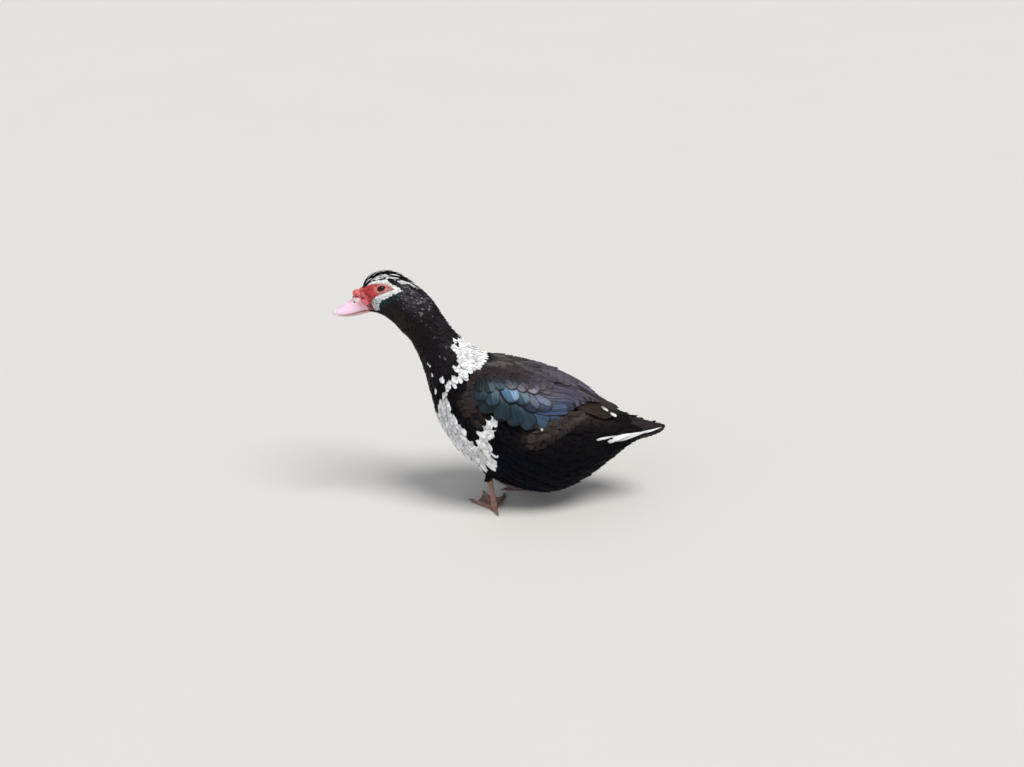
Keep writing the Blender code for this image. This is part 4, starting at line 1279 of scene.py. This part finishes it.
def buildEye(side, name):
    # a ball about the eye's axis, with a low bulge over the iris
    centre, out, back, up = eyeFrames[side]
    polar, turn = np.meshgrid(np.linspace(0.03, np.pi - 0.03, 40), np.linspace(0, 2 * np.pi, 48, endpoint=False),
                              indexing="ij")
    radius = eyes["radius"] * (1 + 0.05 * np.exp(-(polar / 0.55) ** 2))
    ring = back * (np.sin(polar) * np.cos(turn))[..., None] + up * (np.sin(polar) * np.sin(turn))[..., None]
    points = (centre + radius[..., None] * (ring + out * np.cos(polar)[..., None])).reshape(-1, 3)
    loops, counts = ringFaces(40, 48)
    loops = outward(points, loops, counts)
    piece = addPiece(name, points, loops, counts, [looks["eye"]])
    row, column = loops // 48, loops % 48
    phi = polar.ravel()[loops]
    addMap(piece, "globe", np.stack([phi / np.pi, np.abs(2 * column / 48 - 1)], -1))
    angle = column * 2 * np.pi / 48
    addMap(piece, "OFBake", np.stack([0.5 + 0.46 * phi / np.pi * np.cos(angle), 0.5 + 0.46 * phi / np.pi * np.sin(angle)], -1))
    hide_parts("eye_left" if side > 0 else "eye_right")


print("eyes")
buildEye(1, "eyeLeft")
buildEye(-1, "eyeRight")


# Claws
def clawLook():
    look, tree, shader = newLook("clawHorn", {"Coat Weight": 0.3, "Coat Roughness": 0.25})
    place = tree.nodes.new("ShaderNodeTexCoord").outputs["Object"]
    tint, chance = tintOf(tree)
    lines = noiseOf(tree, place, 900.0, 3.0)
    colour = blended(tree, ranged(tree, lines, 0.4, 0.7, 0.0, 0.5), tint, (0.26, 0.20, 0.16, 1))
    tree.links.new(colour, shader.inputs["Base Color"])
    tree.links.new(ranged(tree, lines, 0.3, 0.8, 0.28, 0.45), shader.inputs["Roughness"])
    bumped(tree, shader, lines, 0.3, 0.0002)
    return look


def clawRings(base, along, length, radius, drop):
    # a cone that bends down, its radius falling as the 0.75th power of what is left
    share = np.linspace(0, 1, 12)
    path = base + along * (length * np.sin(share * 1.35) / np.sin(1.35))[:, None]
    path[:, 2] -= drop * share ** 2
    radii = radius * np.maximum((1 - share) ** 0.75, 0.12)
    return tubeRings(path, radii, 14)


def buildClaws():
    parts = []
    for name, spot in (("left", 0.02), ("right", 0.52)):
        low = legPath(name)[0]
        swings = footPoints(name)[2]
        ground = np.array([low[0], low[1], 0])
        for toe, (swing, length) in enumerate(zip(swings, leg["toes"])):
            along = np.array([np.cos(swing), np.sin(swing), 0])
            base = ground + along * (length - 0.0022) + (0, 0, 0.0030)
            rings = clawRings(base, along, leg["clawLength"] + 0.0024, leg["clawRadius"], 0.0019)
            parts.append(tubePart(rings, leg["claw"], 0, (0.02 + 0.24 * toe, spot, 0.2, 0.4)))
        along = np.array([-np.cos(swings[1]), -np.sin(swings[1]), 0])
        rings = clawRings(ground + along * 0.0175 + (0, 0, 0.0034), along, 0.0070, 0.0017, 0.0022)
        parts.append(tubePart(rings, leg["claw"], 0, (0.76, spot, 0.2, 0.4)))
    offsets = np.cumsum([0] + [len(part[0]) for part in parts])
    loops = np.concatenate([part[1] + offset for part, offset in zip(parts, offsets)])
    points = np.concatenate([part[0] for part in parts])
    piece = addPiece("claws", points, loops, np.concatenate([part[2] for part in parts]), [clawLook()])
    addMap(piece, "OFBake", np.concatenate([part[3] for part in parts]))
    tint = np.concatenate([part[4] for part in parts])
    addColours(piece, "tint", np.concatenate([tint, np.full((len(tint), 1), 0.5)], 1))
    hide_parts(*[f"claw_{side}_{n}" for side in ("left", "right") for n in (1, 2, 3, 4)])


print("claws")
buildClaws()


# The coat of small feathers, from bill to tail
coat = {
    # feather length at these t
    "lengthAt": [0.2, 1.5, 3.0, 4.6, 6.0, 7.6, 9.0, 11.0, 13.0, 15.0, 16.9],
    "length": [0.0036, 0.0046, 0.0062, 0.0084, 0.0115, 0.0155, 0.0200, 0.0250, 0.0270, 0.0270, 0.0150],
    "overlap": 3.0,
    "sideOverlap": 1.45,
    "slim": 0.50,
    # name, first t, last t, the t whose length sets the spacing, section, rings, look
    "pieces": [
        ("coatFace", 0.15, 2.55, 1.7, "small", 6, "smallFeather"),
        ("coatCheek", 2.5, 3.95, 3.1, "small", 6, "smallFeather"),
        ("coatNape", 3.9, 5.3, 4.5, "small", 6, "smallFeather"),
        ("coatNeck", 5.2, 7.2, 6.2, "small", 7, "smallFeather"),
        ("coatBreast", 7.0, 9.7, 8.3, "medium", 7, "bodyFeather"),
        ("coatBelly", 9.7, 12.6, 11.1, "medium", 7, "bodyFeather"),
        ("coatRump", 12.6, 16.9, 14.3, "medium", 7, "bodyFeather"),
    ],
}


def coloured(colour, along, section, chance, rootShade=0.55):
    # one colour for each feather, darker at its root as painted shade under the feathers that lie over it, and a random
    # number in the fourth place
    shade = rootShade + (1 - rootShade) * step(0.0, 0.45, along)
    full = colour[:, None, None, :] * shade[None, :, None, None]
    full = np.broadcast_to(full, (len(colour), len(along), len(section), 3))
    luck = np.broadcast_to(chance.random(len(colour))[:, None, None, None], full.shape[:3] + (1,))
    return np.concatenate([full, luck], -1)


def flecked(colours, along, section, t, turn, chance):
    # a pale streak near the tip of a few feathers of the nape and neck
    luck = chance.random(len(t))
    aside = np.abs(turn)
    some = (luck < 0.42) & (t > 3.45) & (t < 4.9) & (aside > 18) & (aside < 66)
    some |= (luck < 0.12) & (t > 3.1) & (t < 5.6) & (aside < 88)
    some |= (luck < 0.012) & (t > 5.4) & (t < 7.2)
    share = some[:, None, None] * (np.abs(section[:, 0]) < 0.1) * chance.uniform(0.15, 1.0, len(t))[:, None, None]
    share = share * (step(0.55, 0.72, along) * step(1.0, 0.9, along))[None, :, None]
    colours[..., :3] = mixTo(colours[..., :3], (0.26, 0.23, 0.28), np.broadcast_to(share, colours.shape[:3]))
    return colours


def buildCoat():
    for number, (name, first, last, middleT, section, rings, look) in enumerate(coat["pieces"]):
        chance = np.random.default_rng(100 + number)
        length = np.interp(middleT, coat["lengthAt"], coat["length"])
        width = length * coat["slim"]
        t, turn, stretch = spread(first, last, -180, 180, length / coat["overlap"], width / coat["sideOverlap"], chance)
        keep = ~within(markings["redArea"], t + 0.02, np.abs(turn))
        spots = bodySheet(t, turn, np.zeros(len(t)))
        for side in (1, -1):
            a, b, height = fromEye(spots, side)
            keep &= (a ** 2 + (b * 1.15) ** 2 > 0.0088 ** 2) | (height < -0.004)
        along, across = wingSpot(t, turn)
        keep &= ~((along > 0.05) & (along < 0.90) & (across > 0.10) & (across < 0.74))
        keep &= ~((t > 1.7) & (t < 3.6) & (np.abs(turn) < 8))
        keep &= ~((t > 15.1 + 0.35 * np.sin(turn * 0.35)) & (np.abs(turn) < 60))
        keep &= ~((t < 1.3) & (np.abs(turn) < 30))
        keep &= ~((t > 8.9) & (t < 12.6) & (np.abs(turn) < 26))
        t, turn, stretch = t[keep], turn[keep], stretch[keep]
        own = np.minimum(np.interp(t, coat["lengthAt"], coat["length"]), length * 1.25) * stretch
        ruff = 0.0022 * step(3.7, 4.5, t) * step(6.4, 5.4, t) * step(100, 20, np.abs(turn))
        style = {"section": section, "rings": rings, "vane": "round", "root": -0.85 * float(coatDepth(middleT)),
                 "tip": 0.0002 + ruff, "tipSpread": 0.10 * float(coatDepth(middleT)), "thick": 0.00016, "camber": 0.22,
                 "sway": 7.0}
        way = chance.normal(0, 6.0, len(t))
        made, ahead, ring, middle = layFeathers(bodySheet, t, turn, way, own * chance.normal(1, 0.08, len(t)),
                                                own * coat["slim"] * chance.normal(1, 0.08, len(t)), style, chance)
        where = np.stack([middle[:, 0], (middle[:, 1] + 180) % 360 - 180], -1)
        colour = coatColour(where[:, 0], where[:, 1], made[:, rings - 2, 0])
        tint = flecked(coloured(colour, ahead, ring, chance), ahead, ring, where[:, 0], where[:, 1], chance)
        piece = addFeathers(name, made, ahead, ring, tint, bodyMap(t, turn), 0.003, [looks[look]])


print("coat")
buildCoat()


# Crest: long narrow feathers of the crown, black with white streaks, a little raised
crest = {"length": 0.017, "width": 0.0036, "row": 0.0022, "column": 0.0024}


def buildCrest():
    chance = np.random.default_rng(40)
    t, turn, stretch = spread(1.36, 4.3, -34, 34, crest["row"], crest["column"], chance)
    keep = ~within(markings["redArea"], t, np.abs(turn)) & (np.abs(turn) < 24 + chance.normal(0, 3, len(t)))
    t, turn = t[keep], turn[keep]
    aside = np.abs(turn)
    own = crest["length"] * step(1.0, 2.2, t + 0.5) * chance.normal(1, 0.12, len(t)) * (1 - 0.35 * step(10, 24, aside))
    ridge = 0.0018 + 0.0050 * np.exp(-(turn / 11.0) ** 2) * step(1.25, 1.75, t) * step(5.0, 2.2, t)
    style = {"section": "small", "rings": 8, "vane": "hair", "root": -0.0012, "tip": ridge, "tipSpread": 0.0003,
             "thick": 0.00022, "camber": 0.25, "sway": 4.0, "rise": 0.6}
    way = chance.normal(0, 4.5, len(t)) + turn * 0.10
    made, ahead, ring, middle = layFeathers(bodySheet, t, turn, way, own, crest["width"] * chance.normal(1, 0.1, len(t)),
                                            style, chance)
    colour = np.zeros((len(t), 3)) + (0.0065, 0.006, 0.007)
    luck = chance.random(len(t))
    high = within(markings["browHigh"], middle[:, 0], np.abs(middle[:, 1])) & (luck < 0.8)
    hoary = (t < 2.3) & (aside > 9) & (luck < 0.07) | (luck < 0.02)
    colour = mixTo(colour, (0.70, 0.70, 0.73), high | hoary)
    piece = addFeathers("crestFeathers", made, ahead, ring, coloured(colour, ahead, ring, chance, 0.8), bodyMap(t, turn),
                        0.003, [looks["smallFeather"]])
    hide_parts("crest")


print("crest")
buildCrest()


# Mantle: broad feathers over the back, between the wings
def buildMantle():
    chance = np.random.default_rng(50)
    t, turn, stretch = spread(8.15, 12.9, -48, 48, 0.0085, 0.0085, chance)
    along, across = wingSpot(t, turn)
    keep = ~((along > 0.22) & (across > 0.30))
    t, turn = t[keep], turn[keep]
    style = {"section": "medium", "rings": 8, "vane": "round", "root": -0.0045, "tip": 0.0004, "tipSpread": 0.0004,
             "thick": 0.00025, "camber": 0.16, "sway": 4.0}
    own = np.interp(t, [8.2, 9.5, 12.5], [0.018, 0.028, 0.036]) * chance.normal(1, 0.06, len(t))
    made, ahead, ring, middle = layFeathers(bodySheet, t, turn, chance.normal(0, 5, len(t)), own, own * 0.56, style, chance)
    colour = coatColour(middle[:, 0], middle[:, 1], made[:, 6, 0])
    # pale grey on random back feathers is a painted highlight
    highlightShare = chance.random(len(t)) ** 1.5 * 0.75 * step(8.5, 9.1, middle[:, 0])
    colour = mixTo(colour, markings["backHighlightGrey"], highlightShare)
    piece = addFeathers("mantleFeathers", made, ahead, ring, coloured(colour, ahead, ring, chance), bodyMap(t, turn),
                        0.003, [looks["backFeather"]])


print("mantle")
buildMantle()


# Wings: feathers by the place of their tips as (along, across) of the folded wing
flight = {
    "teal": (0.012, 0.036, 0.050),
    "skyBlue": (0.052, 0.110, 0.182),
    "blue": (0.046, 0.080, 0.140),
    "violet": (0.030, 0.040, 0.080),
    "deepTeal": (0.009, 0.019, 0.025),
    "tertial": (0.078, 0.071, 0.104),
    "lavenderHighlight": (0.150, 0.140, 0.215),
    "primary": (0.017, 0.0095, 0.008),
    "shoulderBrown": (0.026, 0.019, 0.019),
    "white": (0.80, 0.81, 0.83),
    "whiteDot": (0.52, 0.93),
    # along, across, way, length and width in millimetres, from the front one to the rear one
    # these two by t and turn of the body
    "primaries": [(14.05, 35, 2, 78, 16), (14.26, 31, 1, 80, 16), (14.43, 26.5, 0, 82, 16), (14.57, 21, 0, 82, 16),
                  (14.67, 15, 0, 82, 16), (14.72, 8, 0, 80, 16)],
    "whiteTips": [(14.02, 26.0, 14, 14, 6.4), (14.46, 32.5, 22, 12, 6.6)],
    "secondaries": [(0.135, 0.875, 66, 44, 26), (0.215, 0.925, 63, 48, 27), (0.305, 0.905, 60, 52, 28),
                    (0.395, 0.880, 52, 55, 28), (0.471, 0.885, 43, 57, 28), (0.542, 0.895, 34, 58, 27),
                    (0.603, 0.90, 26, 58, 25)],
    "coverts": [(0.140, 0.79, 64, 40, 25), (0.225, 0.79, 60, 44, 26), (0.312, 0.645, 52, 46, 28), (0.390, 0.62, 45, 46, 26),
                (0.462, 0.67, 38, 50, 27), (0.530, 0.66, 32, 50, 26)],
    "smallCoverts": [(0.105, 0.66, 58, 30, 19), (0.165, 0.615, 54, 32, 20), (0.215, 0.53, 50, 32, 20), (0.285, 0.475, 44, 34, 22),
                     (0.360, 0.455, 38, 36, 22), (0.435, 0.44, 32, 38, 23)],
    "tertials": [(0.640, 0.79, 16, 74, 19), (0.675, 0.73, 15, 78, 19), (0.712, 0.665, 14, 82, 20), (0.750, 0.595, 13, 86, 20),
                 (0.786, 0.51, 12, 90, 21), (0.820, 0.41, 11, 92, 21), (0.850, 0.29, 10, 94, 22), (0.875, 0.14, 9, 95, 22),
                 (0.895, -0.05, 8, 95, 22)],
    # vane, root lift, tip lift, look
    "groups": {
        "primaries": ("long", 0.0005, 0.0058, "longFeather"),
        "whiteTips": ("round", 0.0060, 0.0072, "longFeather"),
        "secondaries": ("long", -0.0052, -0.0010, "panelFeather"),
        "coverts": ("round", -0.0036, 0.0010, "panelFeather"),
        "smallCoverts": ("round", -0.0026, 0.0012, "panelFeather"),
        "tertials": ("long", -0.0050, 0.0008, "longFeather"),
    },
    # rows of brown feathers: name, tips from and to along, rows, feathers a row, tips from and to across,
    # way from and to, length from and to, width share, tip lift
    "shoulder": [
        ("lesser", (0.015, 0.105), 7, 17, (0.02, 1.08), (28, 66), (0.013, 0.018), 0.60, 0.0006),
        ("middle", (0.125, 0.52), 10, 6, (0.02, 0.44), (20, 38), (0.020, 0.031), 0.62, 0.0018),
        ("scapular", (0.155, 0.70), 11, 6, (-0.34, 0.20), (6, 20), (0.031, 0.052), 0.50, 0.0026),
        ("flank", (0.50, 0.90), 15, 7, (0.88, 1.22), (-6, 4), (0.014, 0.018), 0.46, 0.0008),
    ],
}


def wingGroup(side, name, chance):
    u, v, way, length, width = np.array(flight[name], float).T
    vane, low, high, look = flight["groups"][name]
    count = len(u)
    way = way + chance.normal(0, 1.5, count)
    length = length * 0.001 * chance.normal(1, 0.02, count)
    sheet, steps = wingSheet(side), (1e-3, 1e-3)
    rootMap = np.stack([0.05 + 0.85 * u, 0.08 + 0.8 * v], -1)
    if name in ("primaries", "whiteTips"):
        sheet, steps = bodySheet, (1e-3, 0.05)
        rootMap = np.stack([0.90 - 0.1 * np.arange(count), np.full(count, 0.94 if name == "primaries" else 0.97)], -1)
        v, way = v * side, way * side
    u, v = walkBack(sheet, u, v, way, length, steps)
    style = {"section": "large", "rings": 14, "vane": vane, "root": low, "tip": high, "tipSpread": 0.0002,
             "thick": 0.00035, "camber": 0.055, "sway": 1.5, "steps": steps, "rise": 0.7}
    made, ahead, ring, middle = layFeathers(sheet, u, v, way, length, width * 0.001, style, chance)
    # each feather lies over the next one behind it
    made = made + np.linspace(0.0010, 0, count)[:, None, None, None] * (0, -0.6 * side, 0.8)
    f = np.linspace(0, 1, count)
    base = np.zeros((count, 3))
    if name == "primaries":
        colour = base + flight["primary"]
    elif name == "whiteTips":
        colour = base + flight["white"]
    elif name == "secondaries":
        colour = mixTo(mixTo(base + flight["deepTeal"], flight["teal"], step(0.1, 0.5, f)), flight["blue"], step(0.5, 0.95, f))
    elif name == "coverts":
        colour = mixTo(mixTo(base + flight["teal"], flight["skyBlue"], np.exp(-((f - 0.42) / 0.16) ** 2)), flight["violet"],
                       step(0.5, 0.9, f))
    elif name == "smallCoverts":
        colour = mixTo(mixTo(base + flight["deepTeal"], flight["teal"], step(0.0, 0.3, f) * step(0.6, 0.4, f)),
                       flight["tertial"], step(0.35, 0.8, f))
    else:
        first = mixTo(base + flight["violet"], flight["blue"], np.full(count, 0.5))
        # lavender on the rear tertials, which lie highest, is a painted highlight
        colour = mixTo(mixTo(first, flight["tertial"], step(0.0, 0.30, f)), flight["lavenderHighlight"],
                       step(0.7, 1.0, f) * 0.7)
    tint = coloured(colour, ahead, ring, chance, 0.6)
    return made, ahead, ring, tint, rootMap


def shoulderGroup(side, rows, chance):
    # a staggered grid of tips over a part of the wing
    name, alongRange, count, perRow, acrossRange, wayRange, lengthRange, slim, high = rows
    row, column = np.meshgrid(np.arange(count), np.arange(perRow), indexing="ij")
    g = ((column + 0.5 * (row % 2) + 0.25) / perRow).ravel()
    h = (row / (count - 1)).ravel()
    along = np.interp(h, [0, 1], alongRange) + chance.normal(0, 0.006, len(g))
    across = np.interp(g, [0, 1], acrossRange) + chance.normal(0, 0.012, len(g))
    if name == "lesser":
        # the bend of the wing is round: its edge lies further back at the top and below
        along += 0.032 * step(0.6, 0.1, across) + 0.030 * step(0.75, 1.0, across)
    way = np.interp(g, [0, 1], wayRange) + chance.normal(0, 4, len(g))
    length = np.interp(h, [0, 1], lengthRange) * chance.normal(1, 0.07, len(g))
    sheet = wingSheet(side)
    u, v = walkBack(sheet, along, across, way, length, (1e-3, 1e-3))
    high = high - 0.0022 * step(0.05, -0.15, across)
    style = {"section": "medium", "rings": 9, "vane": "round", "root": high - 0.0042, "tip": high, "tipSpread": 0.0004,
             "thick": 0.00028, "camber": 0.14, "sway": 3.0, "steps": (1e-3, 1e-3)}
    made, ahead, ring, middle = layFeathers(sheet, u, v, way, length, length * slim, style, chance)
    made = made + (h * -0.0008)[:, None, None, None] * (0, 0, 1)
    t, turn = wingPlace(along, across)
    colour = np.zeros((len(g), 3)) + flight["shoulderBrown"]
    luck = chance.random(len(g))
    colour = mixTo(colour, markings["neckPurple"], luck * 0.6)
    if name == "middle":
        colour = mixTo(colour, flight["deepTeal"], step(0.25, 0.40, across) * step(0.38, 0.30, along) * 0.8)
        colour = mixTo(colour, flight["tertial"], step(0.30, 0.45, along) * 0.8)
    elif name == "scapular":
        # pale grey and lavender along the top edge of the wing are painted highlights
        highlightShare = step(0.45, 0.95, luck) * step(0.16, 0.0, across) * step(0.66, 0.45, along)
        colour = mixTo(colour, flight["tertial"], step(0.25, 0.6, along) * 0.8)
        colour = mixTo(colour, markings["backHighlightGrey"], highlightShare * 0.9)
        colour = mixTo(colour, flight["lavenderHighlight"], (0.15 + 0.6 * luck) * step(0.42, 0.62, along) * step(0.12, -0.05, across))
    elif name == "flank":
        share = (0.25 + 0.70 * luck) * step(0.97, 0.74, along) * step(1.24, 1.00, across)
        colour = mixTo(markings["bodyBlack"] + np.zeros((len(g), 3)), markings["flankBrown"], share)
    tint = coloured(colour, ahead, ring, chance)
    if name == "flank":
        nearest = np.argmin(np.hypot(along - flight["whiteDot"][0], (across - flight["whiteDot"][1]) * 0.5))
        tint[nearest, 5:, :, :3] = flight["white"]
    return made, ahead, ring, tint, bodyMap(t, side * turn)


def buildWing(side, label):
    chance = np.random.default_rng(60)
    groups = {name: wingGroup(side, name, chance) for name in flight["groups"]}
    for kind, names, node in (("longFeathers", ("primaries", "whiteTips", "tertials"), "wing_tip_"),
                              ("panelFeathers", ("secondaries", "coverts", "smallCoverts"), "wing_")):
        ahead, ring = groups[names[0]][1:3]
        points, colours, roots = joinFeathers([(groups[name][0], *groups[name][3:]) for name in names])
        look = flight["groups"][names[0]][3]
        piece = addFeathers(f"wing{label}_{kind}", points, ahead, ring, colours, roots, 0.02, [looks[look]])
        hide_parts(node + label.lower())
    parts = [shoulderGroup(side, rows, chance) for rows in flight["shoulder"]]
    points, colours, roots = joinFeathers([(part[0], *part[3:]) for part in parts])
    piece = addFeathers(f"wing{label}_coverts", points, parts[0][1], parts[0][2], colours, roots, 0.003,
                        [looks["backFeather"]])


print("wings")
buildWing(1, "Left")
buildWing(-1, "Right")


# Tail: long feathers side by side, the middle pair on top and the outer ones shorter
tail = {
    "aside": [0.0026, 0.0075, 0.0120, 0.0165, 0.0205, 0.0245, 0.0280],
    "tipT": [17.95, 17.75, 17.45, 17.10, 16.75, 16.40, 16.05],
    "rootT": 14.2,
    "width": 0.021,
    "colour": (0.0105, 0.0058, 0.0062),
}


def buildTail():
    chance = np.random.default_rng(70)
    aside = np.array(tail["aside"])
    aside = np.stack([aside, -aside], -1).ravel()
    tipT = np.repeat(tail["tipT"], 2) + chance.normal(0, 0.03, len(aside))
    rootT = np.full(len(aside), tail["rootT"])
    start, end = tailSheet(rootT, aside * 0.7), tailSheet(tipT, aside)
    length = np.linalg.norm(end - start, axis=1)
    level = np.linspace(0.0, -0.0035, len(aside))
    lean = np.degrees(np.arctan2(aside * 0.3, length))
    style = {"section": "large", "rings": 16, "vane": "long", "root": -0.0016, "tip": -0.0002, "tipSpread": 0.0002,
             "thick": 0.0004, "camber": 0.05, "sway": 1.0, "steps": (1e-3, 1e-4), "rise": 0.7}
    made, ahead, ring, middle = layFeathers(tailSheet, rootT, aside * 0.7, lean, length, np.full(len(aside), tail["width"]),
                                            style, chance)
    made = made + level[:, None, None, None] * (0, 0, 1)
    colour = np.zeros((len(aside), 3)) + tail["colour"]
    colour = mixTo(colour, markings["neckPurple"], chance.random(len(aside)) * 0.5)
    roots = np.stack([0.10 + 0.05 * np.arange(len(aside)), np.full(len(aside), 0.5)], -1)
    piece = addFeathers("tailFeathers", made, ahead, ring, coloured(colour, ahead, ring, chance, 0.8), roots, 0.02,
                        [looks["longFeather"]])
    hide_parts("tail")


def buildTailSides():
    # long white feathers along the edge under the tail
    chance = np.random.default_rng(80)
    t = np.array([13.46, 13.90, 14.42, 15.0, 15.7])
    turn = np.array([76.0, 84.0, 89.0, 87.5, 85.0])
    length = np.array([0.037, 0.047, 0.050, 0.048, 0.041])
    width = np.array([0.0048, 0.0100, 0.0090, 0.0044, 0.0026])
    t, length, width = (np.tile(values, 2) for values in (t, length, width))
    turn = np.concatenate([turn, -turn - (6, 8, 12, 20, 26)])
    way = np.where(turn > 0, -4.0, 4.0) + chance.normal(0, 1.5, len(t))
    style = {"section": "medium", "rings": 10, "vane": "hair", "root": -0.0022, "tip": 0.0024, "tipSpread": 0.0003,
             "thick": 0.0003, "camber": 0.08, "sway": 1.5, "rise": 0.30}
    made, ahead, ring, middle = layFeathers(bodySheet, t, turn, way, length, width, style, chance)
    colour = np.zeros((len(t), 3)) + markings["white"]
    piece = addFeathers("tailSideFeathers", made, ahead, ring, coloured(colour, ahead, ring, chance, 0.7),
                        bodyMap(t, turn), 0.003, [looks["bodyFeather"]])


print("tail")
buildTail()
buildTailSides()


# Thighs: feathers that point down to the cuff over the ankle
def thighSheet(name):
    low, ankle, high = legPath(name)
    upwards = (ankle - low) / np.linalg.norm(ankle - low)
    knee = ankle + upwards * 0.003
    axis = high - knee
    straight = axis / np.linalg.norm(axis)
    first = np.cross(straight, (0.0, 1.0, 0.0))
    first /= np.linalg.norm(first)
    second = np.cross(straight, first)

    def sheet(s, turn, lift=0.0):
        s, turn = np.broadcast_arrays(np.asarray(s, float), np.asarray(turn, float))
        radius = np.interp(s, [-0.1, 0, 0.2, 0.5, 1.0, 1.4], [0.0046, 0.0052, 0.0080, 0.0125, 0.0190, 0.0230]) + lift
        angle = np.radians(turn)
        around = first * np.cos(angle)[..., None] + second * np.sin(angle)[..., None]
        return knee + axis * s[..., None] + around * radius[..., None]
    return sheet


def buildThigh(name):
    chance = np.random.default_rng(90)
    row, column = np.meshgrid(np.arange(9), np.arange(14), indexing="ij")
    s = (0.16 + 0.115 * row + chance.normal(0, 0.012, row.shape)).ravel()
    turn = ((column + 0.5 * (row % 2)) * 360 / 14 + chance.normal(0, 4, row.shape)).ravel()
    length = np.interp(s, [0, 1.2], [0.012, 0.020]) * chance.normal(1, 0.08, len(s))
    style = {"section": "small", "rings": 7, "vane": "round", "root": -0.0008, "tip": 0.0012, "tipSpread": 0.0003,
             "thick": 0.0002, "camber": 0.15, "sway": 5.0, "steps": (1e-3, 0.05)}
    way = 180 + chance.normal(0, 7, len(s))
    made, ahead, ring, middle = layFeathers(thighSheet(name), s, turn, way, length, length * 0.5, style, chance)
    colour = np.zeros((len(s), 3)) + markings["bodyBlack"]
    roots = np.stack([0.83 + 0.15 * s / 1.3, (0.1 if name == "left" else 0.55) + turn / 360 * 0.35], -1)
    piece = addFeathers(f"thigh_{name}_feathers", made, ahead, ring, coloured(colour, ahead, ring, chance), roots, 0.003,
                        [looks["bodyFeather"]])


print("thighs")
buildThigh("left")
buildThigh("right")


# Studio
studio = {
    "cameraAt": (0.015, -2.261, 1.054),
    "lookDown": 20.74,
    "lens": 54.0,
    "floor": (0.70, 0.69, 0.67),
    # a soft sun from above, to the right and a little behind the camera, and one softer from the left
    "suns": [
        ("keySun", (0.55, -0.50, 1.35), 30.0, 2.7, (1.0, 0.975, 0.93)),
        ("fillSun", (-1.0, -0.9, 0.6), 60.0, 0.5, (0.93, 0.96, 1.0)),
    ],
    "sky": (0.86, 0.88, 0.92),
    "skyStrength": 0.40,
}


def buildStudio():
    look, tree, shader = newLook("floorPaper", {"Roughness": 0.8})
    place = tree.nodes.new("ShaderNodeTexCoord").outputs["Object"]
    cloud = noiseOf(tree, place, 1.4, 4.0)
    base = studio["floor"]
    tree.links.new(blended(tree, cloud, (*[c * 0.97 for c in base], 1), (*base, 1)), shader.inputs["Base Color"])
    bumped(tree, shader, noiseOf(tree, place, 500.0, 3.0), 0.08, 0.0005)
    mesh = bpy.data.meshes.new("floor")
    mesh.from_pydata([(-30, -30, 0), (30, -30, 0), (30, 30, 0), (-30, 30, 0)], [], [(0, 1, 2, 3)])
    mesh.materials.append(look)
    floor = bpy.data.objects.new("floor", mesh)
    bpy.context.scene.collection.objects.link(floor)

    for name, place, spreadAngle, power, colour in studio["suns"]:
        lamp = bpy.data.lights.new(name, "SUN")
        lamp.angle, lamp.energy, lamp.color = np.radians(spreadAngle), power, colour
        stand = bpy.data.objects.new(name, lamp)
        stand.location = place
        x, y, z = place
        stand.rotation_euler = (np.arctan2(np.hypot(x, y), z), 0, np.arctan2(x, -y))
        bpy.context.scene.collection.objects.link(stand)

    world = bpy.data.worlds.new("softSky")
    world.use_nodes = True
    sky = world.node_tree.nodes["Background"]
    sky.inputs["Color"].default_value = (*studio["sky"], 1)
    sky.inputs["Strength"].default_value = studio["skyStrength"]
    bpy.context.scene.world = world
    bpy.context.scene.view_settings.view_transform = "Standard"

    camera = bpy.data.cameras.new("camera")
    camera.lens = studio["lens"]
    camera.sensor_width = 36.0
    camera.clip_end = 100.0
    holder = bpy.data.objects.new("camera", camera)
    holder.location = studio["cameraAt"]
    holder.rotation_euler = (np.radians(90 - studio["lookDown"]), 0, 0)
    bpy.context.scene.collection.objects.link(holder)
    bpy.context.scene.camera = holder


print("studio")
buildStudio()
